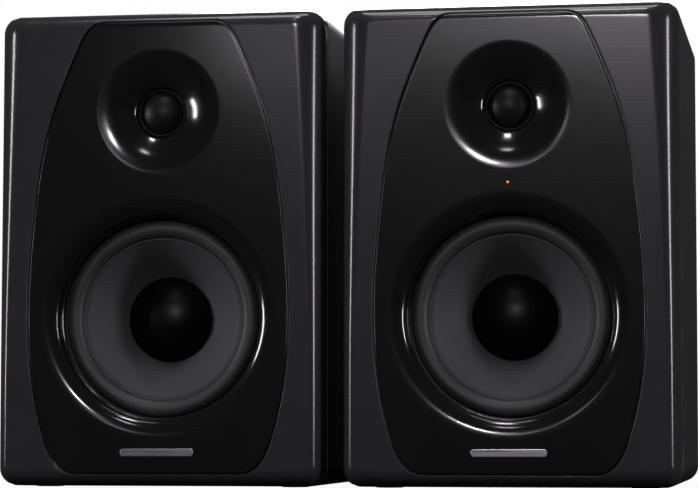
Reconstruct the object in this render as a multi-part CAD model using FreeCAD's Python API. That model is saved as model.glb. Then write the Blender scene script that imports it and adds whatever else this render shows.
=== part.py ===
"""A pair of powered two-way desktop speakers: a right speaker with the amplifier and a passive left one.

Millimetres, +Z up. The fronts face -Y and the speakers stand side by side along X. The origin is on the
surface that they stand on, at the middle of the pair. Each speaker is modelled about its own centre line
with its front face at y = 0 and its back towards +Y, and is moved to its place when it is written out.
"""

import math
import os

import FreeCAD
import Part

V = FreeCAD.Vector
os.makedirs("parts", exist_ok=True)

# ---- driving dimensions -------------------------------------------------------------------------
CABINET_W = 188.0       # outer width
CABINET_H = 268.2       # outer height without feet
CABINET_D = 194.5       # front face to rear panel
GAP = 10.2              # between the two cabinets
FOOT_PROUD = 0.8        # how far the feet stand out of the bottom
OVERALL_D = 209.5       # front face to the tip of the volume knob
CORNER_R = 9.9          # corners of the cabinet, seen from the front
WALL = 12.0             # cabinet board

ROLL_D = 15.0           # depth over which the front edges roll back to the sides
ROLL_TOP = 9.4          # width of the roll along the top and the bottom
ROLL_SIDE_LOW = 8.0     # width of the roll along the sides, near the bottom
ROLL_SIDE_HIGH = 17.0   # and at the top
ROLL_SIDE_START = 60.0  # height at which it starts to widen
SKIN = 3.0              # moulded front skin
SEAM_Y = 20.0           # joint between the front moulding and the cabinet

BOARD_Y = 17.6          # front of the driver board
BOARD_T = 12.0
PANEL_HALF_GAP = 0.5    # half the groove between the centre panel and the bezel

TWEETER_Z = 211.8
WOOFER_Z = 95.3
LED_Z = 168.7
NAMEPLATE_Z = 19.8
PORT_Z = 229.0

CABINET_BOTTOM = FOOT_PROUD
CABINET_TOP = FOOT_PROUD + CABINET_H
REAR = CABINET_D
INNER_REAR = CABINET_D - WALL


# ---- shapes -------------------------------------------------------------------------------------
def box(x0, x1, y0, y1, z0, z1):
    """A box between two corners."""
    return Part.makeBox(x1 - x0, y1 - y0, z1 - z0, V(x0, y0, z0))


def rod(r, y0, y1, x=0.0, z=0.0):
    """A round bar along Y."""
    return Part.makeCylinder(r, y1 - y0, V(x, y0, z), V(0, 1, 0))


def ring(r_out, r_in, y0, y1, x=0.0, z=0.0):
    """A tube along Y."""
    return rod(r_out, y0, y1, x, z).cut(rod(r_in, y0 - 1, y1 + 1, x, z))


def slab(w, h, r, y0, y1, x=0.0, z=0.0):
    """A plate with rounded corners, square to Y."""
    plate = box(x - w / 2, x + w / 2, y0, y1, z - h / 2, z + h / 2)
    upright = [e for e in plate.Edges if abs(e.Vertexes[0].Y - e.Vertexes[-1].Y) > 1e-6]
    return plate.makeFillet(r, upright)


def spun(profile, x=0.0, z=0.0):
    """A closed list of (radius, y) points, turned about an axis along Y."""
    points = [V(x + r, y, z) for r, y in profile]
    face = Part.Face(Part.makePolygon(points + points[:1]))
    return face.revolve(V(x, 0, z), V(0, 1, 0), 360)


def spun_smooth(front, back, x=0.0, z=0.0):
    """As spun, with the front points joined by one smooth curve and the back ones by straight lines."""
    curve = Part.BSplineCurve()
    curve.interpolate([V(x + r, y, z) for r, y in front])
    last = [front[-1], *back, front[0]]
    lines = [
        Part.makeLine(V(x + a[0], a[1], z), V(x + b[0], b[1], z)) for a, b in zip(last, last[1:])
    ]
    face = Part.Face(Part.Wire([curve.toShape(), *lines]))
    return face.revolve(V(x, 0, z), V(0, 1, 0), 360)


def around(count, start=0.0):
    """Angles in degrees, evenly round a circle."""
    return [start + 360.0 * k / count for k in range(count)]


def fused(shapes):
    """One solid from several that overlap or touch."""
    return shapes[0].multiFuse(shapes[1:]).removeSplitter()


def pan_screw(x, y_face, z, r_head, r_shank, length):
    """A screw driven along -Y from behind, with a domed head standing on y_face."""
    head_h = 0.62 * r_head
    screw = spun(
        [(0, y_face - length), (r_shank, y_face - length + 2), (r_shank, y_face), (r_head, y_face),
         (0.9 * r_head, y_face + 0.6 * head_h), (0.5 * r_head, y_face + head_h), (0, y_face + head_h)],
        x, z)
    arm, width, depth = 0.6 * r_head, 0.15 * r_head, 0.8
    for a, b in ((arm, width), (width, arm)):
        screw = screw.cut(box(x - a, x + a, y_face + head_h - depth, y_face + head_h + 1, z - b, z + b))
    return screw


# ---- front moulding -----------------------------------------------------------------------------
def side_roll(z):
    """Width of the rolled edge along the sides at height z."""
    top = CABINET_TOP - ROLL_TOP
    share = max(0.0, (z - ROLL_SIDE_START) / (top - ROLL_SIDE_START))
    return ROLL_SIDE_LOW + (ROLL_SIDE_HIGH - ROLL_SIDE_LOW) * share**1.6


def unit(way):
    """A direction in the XZ plane, made one long."""
    size = math.hypot(*way)
    return (way[0] / size, way[1] / size)


def corner(start, start_way, end, end_way, y, size):
    """A smooth corner edge between two points of a section, tangent to both ways."""
    reach = 0.5523 * size
    a, b = V(start[0], y, start[1]), V(end[0], y, end[1])
    ta, tb = V(start_way[0], 0, start_way[1]), V(end_way[0], 0, end_way[1])
    curve = Part.BezierCurve()
    curve.setPoles([a, a + ta * reach, b - tb * reach, b])
    return curve.toShape()


def front_section(turn, inset=0.0):
    """The moulding's outline where its edge has turned by an angle from the front face to the sides."""
    left = 1 - math.sin(turn)
    y = inset + ROLL_D * (1 - math.cos(turn))
    top = CABINET_TOP - inset - ROLL_TOP * left
    low = CABINET_BOTTOM + inset + ROLL_TOP * left
    r = 1.5 + (CORNER_R - inset - 1.5) * (1 - left)

    def half(z):
        return CABINET_W / 2 - inset - side_roll(z) * left

    def lean(z):
        return half(z + 0.5) - half(z - 0.5)

    spans = 6
    heights = [low + r + (top - low - 2 * r) * k / spans for k in range(spans + 1)]
    flank = Part.BSplineCurve()
    flank.interpolate(
        Points=[V(half(z), y, z) for z in heights],
        InitialTangent=V(lean(heights[0]), 0, 1), FinalTangent=V(lean(heights[-1]), 0, 1))
    right = flank.toShape()
    z0, z1 = heights[0], heights[-1]
    x0, x1 = half(low) - r, half(top) - r
    upper = corner((half(z1), z1), unit((lean(z1), 1)), (x1, top), (-1, 0), y, r)
    lower = corner((x0, low), (1, 0), (half(z0), z0), unit((lean(z0), 1)), y, r)
    mirror = FreeCAD.Matrix(-1, 0, 0, 0, 0, 1, 0, 0, 0, 0, 1, 0, 0, 0, 0, 1)
    edges = [
        lower, right, upper, Part.makeLine(V(x1, y, top), V(-x1, y, top)),
        *[e.transformGeometry(mirror) for e in (upper, right, lower)],
        Part.makeLine(V(-x0, y, low), V(x0, y, low))]
    return Part.Wire(Part.__sortEdges__(edges))


def front_body(y_end, inset=0.0):
    """The solid inside the moulding's outer face, or inside a face set in by inset."""
    turns = [math.radians(a) for a in (0, 14, 28, 42, 56, 70, 81, 90)]
    sections = [front_section(t, inset) for t in turns]
    rolled = Part.makeLoft(sections, True, False)
    straight = Part.Face(sections[-1]).extrude(V(0, y_end - inset - ROLL_D, 0))
    return rolled.fuse(straight)


def panel_outline(y, grow):
    """The centre panel's outline: narrow and round-shouldered at the top, widest beside the woofer."""
    flank_points = [V(64.6, y, 25.2), V(73.0, y, 62.0), V(75.1, y, 95.0), V(71.7, y, 153.0), V(61.9, y, 208.0),
                    V(46.6, y, 247.6)]
    foot_way, shoulder_way = (0.33, 1.0), (-0.44, 1.0)
    ways = {"InitialTangent": V(foot_way[0], 0, foot_way[1]), "FinalTangent": V(shoulder_way[0], 0, shoulder_way[1])}
    flank = Part.BSplineCurve()
    flank.interpolate(Points=flank_points, **ways)
    moved = []
    for point in flank_points:
        along = flank.tangent(flank.parameter(point))[0]
        moved.append(point + V(along.z, 0, -along.x) * grow)
    flank.interpolate(Points=moved, **ways)
    right = flank.toShape()
    foot, shoulder = (46.5, 8.0 - grow), (31.0, 263.0 + grow)
    first, last = (moved[0].x, moved[0].z), (moved[-1].x, moved[-1].z)
    upper = corner(last, unit(shoulder_way), shoulder, (-1, 0), y, 16.0 + 0.8 * grow)
    lower = corner(foot, (1, 0), first, unit(foot_way), y, 18.0 + 0.8 * grow)
    mirror = FreeCAD.Matrix(-1, 0, 0, 0, 0, 1, 0, 0, 0, 0, 1, 0, 0, 0, 0, 1)
    edges = [
        lower, right, upper, Part.makeLine(V(shoulder[0], y, shoulder[1]), V(-shoulder[0], y, shoulder[1])),
        *[e.transformGeometry(mirror) for e in (upper, right, lower)],
        Part.makeLine(V(-foot[0], y, foot[1]), V(foot[0], y, foot[1]))]
    return Part.Wire(Part.__sortEdges__(edges))


def panel_prism(grow, y0, y1):
    """The panel's outline grown by a distance, as a prism along Y."""
    return Part.Face(panel_outline(y0, grow)).extrude(V(0, y1 - y0, 0))


def front_bezel():
    """Moulded surround: rolled outer edges, a window for the centre panel and a ledge behind it."""
    ledge_t, ledge_out, ledge_in = 3.0, 3.0, 4.0
    shell = front_body(SEAM_Y).cut(front_body(SEAM_Y + 5, SKIN))
    block = panel_prism(ledge_out, 1.5, SKIN + ledge_t).common(front_body(SEAM_Y, 1.2))
    shell = shell.fuse(block).removeSplitter()
    return shell.cut(panel_prism(PANEL_HALF_GAP, -5, SKIN)).cut(panel_prism(-ledge_in, -5, 12))


WAVEGUIDE_R = 36.0
THROAT_R = 14.2
THROAT_Y = 10.9
RECESS_R = 69.0
RECESS_HOLE_R = 56.8


def flare(angles, steps=3):
    """Profile of a horn from its slope in degrees at some radii, deeper as the radius shrinks."""
    depth = 0.0
    points = [(angles[0][0], 0.0)]
    for (r0, a0), (r1, a1) in zip(angles, angles[1:]):
        for k in range(steps):
            depth += (r0 - r1) / steps * math.tan(math.radians(a0 + (a1 - a0) * (k + 0.5) / steps))
            points.append((r0 + (r1 - r0) * (k + 1) / steps, depth))
    return points


def waveguide():
    """Horn round the tweeter: it leaves the flat face gently and steepens towards the throat."""
    front = flare([(WAVEGUIDE_R, 0), (34.6, 3.5), (33.4, 5.5), (31.5, 8.5), (29, 13), (25, 21), (20, 28), (17, 31.5),
                   (15.6, 35), (14.9, 44), (14.5, 62)])
    back = [(THROAT_R, 8.9), (THROAT_R, 12.4), (27.0, 12.4), (28.6, 4.8), (33.5, 3.8), (37.0, SKIN), (37.0, 0)]
    return spun_smooth(front, back, 0, TWEETER_Z)


def woofer_recess():
    """Horn round the woofer, dropping at its inner edge to a thin land over the rim of the surround."""
    front = flare([(RECESS_R, 0), (67.4, 2.5), (66.0, 5.5), (65.0, 8.5), (63.5, 16), (61.5, 25), (59.8, 33),
                   (58.9, 42), (58.4, 58)])
    back = [(58.1, 4.3), (58.0, 9.7), (57.3, 10.5), (RECESS_HOLE_R, 10.5), (RECESS_HOLE_R, 12.6), (62.5, 12.6),
            (62.5, 10.9), (60.3, 9.4), (60.6, 5.6), (65.5, 3.8), (70.2, SKIN), (70.2, 0)]
    return spun_smooth(front, back, 0, WOOFER_Z)


NAMEPLATE_W, NAMEPLATE_H, NAMEPLATE_T = 42.0, 4.4, 0.6
LED_R = 1.2


def center_panel(with_led):
    """Glossy centre moulding with the waveguide and the woofer recess in one piece."""
    outer = front_body(SEAM_Y)
    plate = panel_prism(-PANEL_HALF_GAP, -5, SKIN).common(outer)
    plate = plate.cut(rod(36.6, -5, 20, 0, TWEETER_Z)).cut(rod(69.6, -5, 20, 0, WOOFER_Z))
    panel = fused([plate, waveguide(), woofer_recess()])
    panel = panel.cut(slab(NAMEPLATE_W, NAMEPLATE_H, 1.6, -1, NAMEPLATE_T, 0, NAMEPLATE_Z))
    if with_led:
        panel = panel.cut(rod(LED_R, -1, 20, 0, LED_Z))
    return panel


def nameplate():
    """Blank inlaid strip."""
    return slab(NAMEPLATE_W, NAMEPLATE_H, 1.6, 0, NAMEPLATE_T, 0, NAMEPLATE_Z)


def power_led():
    """Indicator lens with its body behind the panel."""
    lens = rod(LED_R, 0.1, SKIN, 0, LED_Z)
    return fused([lens, rod(1.9, SKIN, 7.5, 0, LED_Z), rod(2.4, 7.5, 8.5, 0, LED_Z)])


# ---- cabinet ------------------------------------------------------------------------------------
FOOT_R, FOOT_T = 8.0, 2.4
FOOT_X, FOOT_Y_FRONT, FOOT_Y_REAR = 72.0, 38.0, 176.0
FOOT_PLACES = [(x, y) for x in (-FOOT_X, FOOT_X) for y in (FOOT_Y_FRONT, FOOT_Y_REAR)]
PORT_R, PORT_TUBE_R, PORT_INNER_Y = 21.0, 23.0, 108.0
DRIVER_HOLE_R, TWEETER_HOLE_R = 59.5, 32.0
MID_Z = CABINET_BOTTOM + CABINET_H / 2


def foot_pad(x, y, z0, z1):
    return Part.makeCylinder(FOOT_R, z1 - z0, V(x, y, z0))


def cabinet(rear_cut, rear_holes):
    """Wrapped box of four walls and a back, open at the front, with the rear panel's cut-out."""
    shell = slab(CABINET_W, CABINET_H, CORNER_R, SEAM_Y, REAR, 0, MID_Z)
    rim = [e for e in shell.Edges if all(abs(v.Y - REAR) < 1e-6 for v in e.Vertexes)]
    shell = shell.makeFillet(1.5, rim)
    shell = shell.cut(box(-CABINET_W / 2 + WALL, CABINET_W / 2 - WALL, 0, INNER_REAR,
                          CABINET_BOTTOM + WALL, CABINET_TOP - WALL))
    shell = shell.cut(rod(PORT_TUBE_R, INNER_REAR - 1, REAR + 1, 0, PORT_Z)).cut(rear_cut)
    for x, y in FOOT_PLACES:
        shell = shell.cut(foot_pad(x, y, 0, FOOT_T))
    for x, z, r in rear_holes:
        shell = shell.cut(rod(r, INNER_REAR - 1, REAR + 1, x, z))
    return shell


def feet():
    """Four round rubber pads set into the bottom."""
    return Part.makeCompound([foot_pad(x, y, 0, FOOT_T) for x, y in FOOT_PLACES])


WOOFER_SCREW_R, WOOFER_SCREW_SHANK = 63.0, 1.75


def woofer_screw_places():
    return [(WOOFER_SCREW_R * math.cos(math.radians(a)), WOOFER_Z + WOOFER_SCREW_R * math.sin(math.radians(a)))
            for a in around(4, 45)]


def baffle_board():
    """Board inside the mouth of the cabinet that carries both drivers."""
    half_w, z0, z1 = CABINET_W / 2 - WALL, CABINET_BOTTOM + WALL, CABINET_TOP - WALL
    board = box(-half_w, half_w, BOARD_Y, BOARD_Y + BOARD_T, z0, z1)
    board = board.cut(rod(DRIVER_HOLE_R, 0, 60, 0, WOOFER_Z)).cut(rod(TWEETER_HOLE_R, 0, 60, 0, TWEETER_Z))
    for x, z in woofer_screw_places():
        board = board.cut(rod(WOOFER_SCREW_SHANK, 0, 60, x, z))
    return board.cut(rod(3.0, 0, 60, 0, LED_Z))


def port_tube():
    """Reflex port: a plain tube with a flared mouth whose flange lies on the rear panel."""
    flange_r, flange_t = 33.0, 2.6
    profile = [(PORT_R, PORT_INNER_Y), (PORT_TUBE_R, PORT_INNER_Y), (PORT_TUBE_R, REAR),
               (flange_r, REAR), (flange_r, REAR + 1.4), (flange_r - 1.4, REAR + flange_t),
               (PORT_R + 6.5, REAR + flange_t), (PORT_R + 3.6, REAR + 1.4), (PORT_R + 1.5, REAR - 2.0),
               (PORT_R + 0.4, REAR - 6.5), (PORT_R, REAR - 12.0)]
    return spun(profile, 0, PORT_Z)


# ---- woofer -------------------------------------------------------------------------------------
LAND_Y = 15.0           # front of the surround's flat lands
LAND_T = 0.8
SURROUND_MID_R, SURROUND_ROLL_R = 51.0, 4.6
CONE_RIM_R = 46.2
CAP_R, CAP_Y, CAP_RISE = 24.0, 34.0, 9.6
NECK_R, NECK_Y = 13.1, 43.6
FORMER_R_IN = 12.6
FLANGE_R, FLANGE_T = 66.0, 1.8
PLATE_Y, PLATE_T = 52.0, 5.0
MAGNET_T, MAGNET_R = 15.0, 42.5
YOKE_T = 5.0


def arc_points(cx, cy, r, a0, a1, steps):
    """Points (r, y) along an arc, angles in degrees from the +radius axis towards +y."""
    return [(cx + r * math.cos(math.radians(a0 + (a1 - a0) * k / steps)),
             cy + r * math.sin(math.radians(a0 + (a1 - a0) * k / steps))) for k in range(steps + 1)]


def woofer_surround():
    """Rubber half roll between the flange and the cone, with a flat land on each side."""
    r, t = SURROUND_ROLL_R, LAND_T
    back_y = LAND_Y + t
    outer = arc_points(SURROUND_MID_R, LAND_Y + t / 2, r + t / 2, 0, -180, 24)
    inner = arc_points(SURROUND_MID_R, LAND_Y + t / 2, r - t / 2, -180, 0, 24)
    profile = [(58.8, back_y), (58.8, LAND_Y), (SURROUND_MID_R + r + t / 2, LAND_Y), *outer[1:-1],
               (SURROUND_MID_R - r - t / 2, LAND_Y), (44.4, LAND_Y), (44.4, back_y),
               (SURROUND_MID_R - r + t / 2, back_y), *inner[1:-1], (SURROUND_MID_R + r - t / 2, back_y)]
    return spun(profile, 0, WOOFER_Z)


def woofer_cone():
    """Shallow paper cone with a flat rim under the surround and a neck on the voice coil former."""
    t = 0.9
    rim_y = LAND_Y + LAND_T
    profile = [(CONE_RIM_R, rim_y), (44.2, rim_y), (CAP_R, CAP_Y), (NECK_R, NECK_Y - 1.2),
               (NECK_R, NECK_Y), (NECK_R + 0.8, NECK_Y), (CAP_R + 0.6, CAP_Y + t), (44.6, rim_y + t),
               (CONE_RIM_R, rim_y + t)]
    return spun(profile, 0, WOOFER_Z)


def dome_profile(r, y, rise, t, steps=16):
    """Profile of a spherical cap with its edge at (r, y), bulging to -y by rise."""
    ball = (r * r + rise * rise) / (2 * rise)
    centre_y = y - rise + ball
    angle = math.degrees(math.asin(r / ball))
    outer = arc_points(0, centre_y, ball, -90 + angle, -90, steps)
    inner = arc_points(0, centre_y, ball - t, -90, -90 + angle, steps)
    return [(max(0.0, p), q) for p, q in outer + inner]


def woofer_dust_cap():
    """Dome over the voice coil, glued to the front of the cone."""
    cap = spun(dome_profile(CAP_R, CAP_Y - 0.3, CAP_RISE, 0.6), 0, WOOFER_Z)
    return cap.cut(woofer_cone())


def woofer_voice_coil():
    """Former with its copper winding."""
    former = ring(NECK_R, FORMER_R_IN, NECK_Y - 1.2, 60.0, 0, WOOFER_Z)
    winding = ring(NECK_R + 0.6, NECK_R, 51.5, 59.5, 0, WOOFER_Z)
    return former.fuse(winding)


def woofer_spider():
    """Corrugated centring disc between the former and the basket's shelf."""
    t, mid_y, r0, r1, waves, height = 0.6, 45.6, NECK_R, 33.0, 4, 0.9
    count = 48
    wave = []
    for k in range(count + 1):
        share = k / count
        fade = min(1.0, 6 * share, 6 * (1 - share))
        wave.append((r0 + (r1 - r0) * share, mid_y - height * fade * math.sin(2 * math.pi * waves * share)))
    land_r = 36.5
    profile = [(r, y - t / 2) for r, y in wave] + [(land_r, mid_y - t / 2), (land_r, mid_y + t / 2)]
    profile += [(r, y + t / 2) for r, y in reversed(wave)]
    return spun(profile, 0, WOOFER_Z)


SHELF_Y = 45.9


def woofer_basket():
    """Pressed frame: front flange, six legs with windows between them, the spider's shelf and the base."""
    flange_y = LAND_Y + LAND_T
    profile = [(FLANGE_R, flange_y), (FLANGE_R, flange_y + FLANGE_T), (58.6, flange_y + FLANGE_T), (57.8, 27.0),
               (39.0, SHELF_Y + 0.8), (38.4, SHELF_Y + 2.0), (36.0, SHELF_Y + 2.0), (35.0, PLATE_Y), (24.0, PLATE_Y),
               (24.0, PLATE_Y - 1.6), (33.4, PLATE_Y - 1.6), (34.0, SHELF_Y), (37.6, SHELF_Y),
               (55.8, 26.0), (56.0, flange_y)]
    basket = spun(profile, 0, WOOFER_Z)
    window = box(40.0, 70.0, 23.0, 43.5, -13.0, 13.0)
    for a in around(6, 30):
        cutter = window.copy()
        cutter.rotate(V(0, 0, 0), V(0, 1, 0), a)
        cutter.translate(V(0, 0, WOOFER_Z))
        basket = basket.cut(cutter)
    for x, z in woofer_screw_places():
        basket = basket.cut(rod(2.3, 0, 30, x, z))
    return basket


def woofer_magnet():
    return ring(MAGNET_R, 20.0, PLATE_Y + PLATE_T, PLATE_Y + PLATE_T + MAGNET_T, 0, WOOFER_Z)


def woofer_pole_plates():
    """Steel front plate, and the back plate with its vented pole piece."""
    gap_r, pole_r, vent_r = 14.3, 12.1, 4.0
    front = ring(38.0, gap_r, PLATE_Y, PLATE_Y + PLATE_T, 0, WOOFER_Z)
    back_y = PLATE_Y + PLATE_T + MAGNET_T
    yoke = rod(pole_r, PLATE_Y - 1.0, back_y, 0, WOOFER_Z).fuse(rod(40.0, back_y, back_y + YOKE_T, 0, WOOFER_Z))
    yoke = yoke.cut(rod(vent_r, 0, 100, 0, WOOFER_Z)).removeSplitter()
    return Part.makeCompound([front, yoke])


def woofer_screws():
    head_y = LAND_Y + LAND_T - 1.9
    screws = []
    for x, z in woofer_screw_places():
        head = rod(3.6, head_y, head_y + 1.9, x, z).cut(rod(1.6, head_y - 1, head_y + 1.2, x, z))
        screws.append(head.fuse(rod(WOOFER_SCREW_SHANK, head_y + 1.9, head_y + 15, x, z)))
    return Part.makeCompound(screws)


# ---- tweeter ------------------------------------------------------------------------------------
DOME_R, DOME_Y, DOME_RISE = 12.3, 10.9, 5.4


def tweeter_dome():
    """Soft dome with its small half roll and the voice coil behind it."""
    cap = dome_profile(DOME_R, DOME_Y, DOME_RISE, 0.5)
    roll_mid, roll_r, t = DOME_R + 0.75, 0.85, 0.4
    outer = arc_points(roll_mid, DOME_Y, roll_r, -180, 0, 10)
    inner = arc_points(roll_mid, DOME_Y, roll_r - t, 0, -180, 10)
    dome = spun(cap, 0, TWEETER_Z)
    roll = spun(outer + inner, 0, TWEETER_Z)
    former = ring(DOME_R + 0.2, DOME_R - 0.3, DOME_Y - 0.1, 19.0, 0, TWEETER_Z)
    return fused([dome, roll, former])


def tweeter_housing():
    """Mounting plate and rear chamber of the tweeter."""
    profile = [(THROAT_R + 0.2, 12.4), (30.5, 12.4), (30.5, 15.4), (27.0, 15.4), (27.0, 42.0), (0, 42.0),
               (0, 39.5), (24.5, 39.5), (24.5, 15.4), (THROAT_R + 0.2, 15.4)]
    return spun(profile, 0, TWEETER_Z)


def tweeter_magnet():
    """Ring magnet between its front plate and cup, with the centre pole."""
    plate = ring(24.0, 13.1, 15.4, 18.4, 0, TWEETER_Z)
    magnet = ring(24.0, 15.0, 18.4, 28.0, 0, TWEETER_Z)
    pole = rod(11.4, 15.0, 28.0, 0, TWEETER_Z).fuse(rod(24.0, 28.0, 32.0, 0, TWEETER_Z))
    pole = pole.cut(rod(3.0, 0, 60, 0, TWEETER_Z)).removeSplitter()
    return Part.makeCompound([plate, magnet, pole])


# ---- spring terminals, on both speakers ---------------------------------------------------------
TERMINAL_W, TERMINAL_H, TERMINAL_DEPTH = 46.0, 28.0, 9.0
LEVER_X = 10.5
LEVER_W = 12.0
PIN_R, PIN_IN, PIN_UP = 1.1, 6.4, 5.5   # lever pin: radius, depth behind the face, height above the centre
RUNNING = 0.06          # radial clearance of a shaft in its hole


def terminal_body(x, y_face, z):
    """Moulded block with an open pocket: wire holes low in its floor, room for two levers above them."""
    floor_y = y_face - TERMINAL_DEPTH
    flange = slab(TERMINAL_W, TERMINAL_H, 3.0, y_face, y_face + 2.2, x, z)
    block = box(x - 21, x + 21, floor_y - 3, y_face, z - 12, z + 12)
    body = flange.fuse(block).removeSplitter()
    body = body.cut(box(x - 19, x + 19, floor_y, y_face + 5, z - 10, z + 10))
    body = body.fuse(box(x - 0.8, x + 0.8, floor_y, y_face + 2.2, z - 10, z + 10)).removeSplitter()
    for side in (-1, 1):
        body = body.cut(rod(1.7, floor_y - 5, floor_y + 1, x + side * LEVER_X, z - 6))
    pin = Part.makeCylinder(PIN_R, 40, V(x - 20, y_face - PIN_IN, z + PIN_UP), V(1, 0, 0))
    return body.fuse(pin).removeSplitter()


def terminal_lever(x, y_face, z):
    """Push lever that turns on a pin along X near the floor of the pocket."""
    pin_y, pin_z = y_face - PIN_IN, z + PIN_UP
    half = LEVER_W / 2
    arm = box(x - half, x + half, pin_y, y_face + 6.5, pin_z - 1.6, pin_z + 1.6)
    hub = Part.makeCylinder(2.2, LEVER_W, V(x - half, pin_y, pin_z), V(1, 0, 0))
    tab = box(x - half, x + half, y_face + 4.0, y_face + 6.5, pin_z - 5.5, pin_z + 1.6)
    lever = fused([arm, hub, tab])
    tip = [e for e in lever.Edges if all(v.Y > y_face + 6.4 for v in e.Vertexes)]
    hole = Part.makeCylinder(PIN_R + RUNNING, LEVER_W + 2, V(x - half - 1, pin_y, pin_z), V(1, 0, 0))
    return lever.makeFillet(0.8, tip).cut(hole)


# ---- right speaker: amplifier -------------------------------------------------------------------
PLATE_W, PLATE_H, AMP_PLATE_T = 152.0, 172.0, 2.0
AMP_Z = 103.0
AMP_FACE = REAR + AMP_PLATE_T
CUT_W, CUT_H = 134.0, 154.0
AMP_SCREWS = [(x, z) for x in (-70.0, 70.0) for z in (AMP_Z - 78, AMP_Z, AMP_Z + 78)]
AMP_SCREWS += [(0.0, AMP_Z - 80.0), (0.0, AMP_Z + 80.0)]

KNOB_X, KNOB_Z, KNOB_R = 47.0, 166.0, 8.5
SHAFT_R = 3.0
SLIDER_X, SLIDER_Z = 16.0, 166.0
JACK_X, JACK_Z, JACK_R = (50.0, 26.0), 138.0, 3.25
RCA_X, RCA_Z = (52.0, 36.0), 113.0
USB_X, USB_Z = 14.0, 113.0
MODULE_X, MODULE_Z, MODULE_W, MODULE_H = 38.0, 60.0, 32.0, 72.0
ROCKER_Z, INLET_Z, FUSE_Z = 84.0, 59.0, 36.0
OUT_X, OUT_Z = -38.0, 42.0
SINK_X0, SINK_X1, SINK_Z0, SINK_Z1 = -66.0, -12.0, 70.0, 178.0
PCB_Y = 170.0
PCB_T = 1.6


def amp_plate():
    """Painted metal plate that carries everything on the back of the right speaker."""
    plate = slab(PLATE_W, PLATE_H, 5.0, REAR, AMP_FACE, 0, AMP_Z)
    holes = [(x, z, 1.9) for x, z in AMP_SCREWS]
    holes += [(KNOB_X, KNOB_Z, 3.6), *[(x, JACK_Z, 5.6) for x in JACK_X], *[(x, RCA_Z, 4.4) for x in RCA_X]]
    for x, z, r in holes:
        plate = plate.cut(rod(r, REAR - 1, AMP_FACE + 1, x, z))
    cuts = [(USB_X, USB_Z, 12.2, 11.2), (MODULE_X, MODULE_Z, MODULE_W - 4, MODULE_H - 6), (OUT_X, OUT_Z, 42.2, 24.2),
            (SLIDER_X, SLIDER_Z, 8.6, 4.0)]
    for x, z, w, h in cuts:
        plate = plate.cut(box(x - w / 2, x + w / 2, REAR - 1, AMP_FACE + 1, z - h / 2, z + h / 2))
    return plate


def plate_screws():
    return Part.makeCompound([pan_screw(x, AMP_FACE, z, 3.4, 1.6, 13.0) for x, z in AMP_SCREWS])


def heatsink():
    """Extruded sink with upright fins, its base on the plate."""
    base_t, fin_t, fins = 2.4, 1.8, 9
    tip_y = AMP_FACE + 11.5
    pieces = [box(SINK_X0, SINK_X1, AMP_FACE, AMP_FACE + base_t, SINK_Z0, SINK_Z1)]
    pitch = (SINK_X1 - SINK_X0 - fin_t) / (fins - 1)
    for k in range(fins):
        x = SINK_X0 + k * pitch
        pieces.append(box(x, x + fin_t, AMP_FACE, tip_y, SINK_Z0, SINK_Z1))
    return fused(pieces)


def volume_knob():
    """Fluted knob with a pointer groove, and the shaft that it is pressed onto."""
    y0, y1 = AMP_FACE + 1.0, OVERALL_D
    knob = spun([(0, y0), (KNOB_R, y0), (KNOB_R, y0 + 1.6), (KNOB_R - 0.9, y1 - 0.8), (KNOB_R - 1.7, y1), (0, y1)],
                KNOB_X, KNOB_Z)
    for a in around(18, 10):
        flute_r = KNOB_R + 0.5
        fx = KNOB_X + flute_r * math.cos(math.radians(a))
        fz = KNOB_Z + flute_r * math.sin(math.radians(a))
        knob = knob.cut(rod(1.0, y0 + 2.0, y1 + 1, fx, fz))
    knob = knob.cut(box(KNOB_X - 0.5, KNOB_X + 0.5, y1 - 0.6, y1 + 1, KNOB_Z + 1.5, KNOB_Z + KNOB_R + 1))
    knob = knob.cut(rod(SHAFT_R, y0 - 1, y1 - 3, KNOB_X, KNOB_Z))
    shaft = rod(SHAFT_R, PCB_Y + 12, y1 - 3, KNOB_X, KNOB_Z)
    return Part.makeCompound([knob, shaft])


def treble_slider():
    """Thumb of the two-position treble switch at one stop, with the foot that keeps it in the switch."""
    return fused([box(SLIDER_X - 3.6, SLIDER_X - 0.4, REAR - 3, AMP_FACE + 2.4, SLIDER_Z - 1.5, SLIDER_Z + 1.5),
                  box(SLIDER_X - 3.8, SLIDER_X - 0.2, REAR - 5, REAR - 3, SLIDER_Z - 2.5, SLIDER_Z + 2.5)])


def line_jacks():
    """Two quarter-inch sockets: body on the board, threaded nose through the plate and a ring nut."""
    jacks = []
    for x in JACK_X:
        body = box(x - 8, x + 8, PCB_Y + PCB_T, REAR, JACK_Z - 8, JACK_Z + 8)
        nose = rod(5.6, REAR - 1, AMP_FACE + 3.4, x, JACK_Z)
        nut = rod(7.6, AMP_FACE, AMP_FACE + 2.4, x, JACK_Z)
        jack = fused([body, nose, nut]).cut(rod(JACK_R, REAR - 16, AMP_FACE + 5, x, JACK_Z))
        jacks.append(jack)
    return Part.makeCompound(jacks)


def rca_jacks():
    """Two phono sockets: plated shell with a centre contact, coloured washer and body."""
    pieces = []
    for x in RCA_X:
        shell = ring(4.15, 3.6, AMP_FACE + 1.2, AMP_FACE + 9.5, x, RCA_Z)
        core = ring(3.6, 1.65, AMP_FACE + 1.2, AMP_FACE + 8.7, x, RCA_Z)
        washer = ring(6.4, 1.65, AMP_FACE, AMP_FACE + 1.2, x, RCA_Z)
        neck = ring(4.4, 1.65, REAR, AMP_FACE, x, RCA_Z)
        body = box(x - 6, x + 6, PCB_Y + PCB_T, REAR, RCA_Z - 6, RCA_Z + 6)
        pieces += [shell, core, washer, neck.fuse(body).removeSplitter()]
    return Part.makeCompound(pieces)


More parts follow.
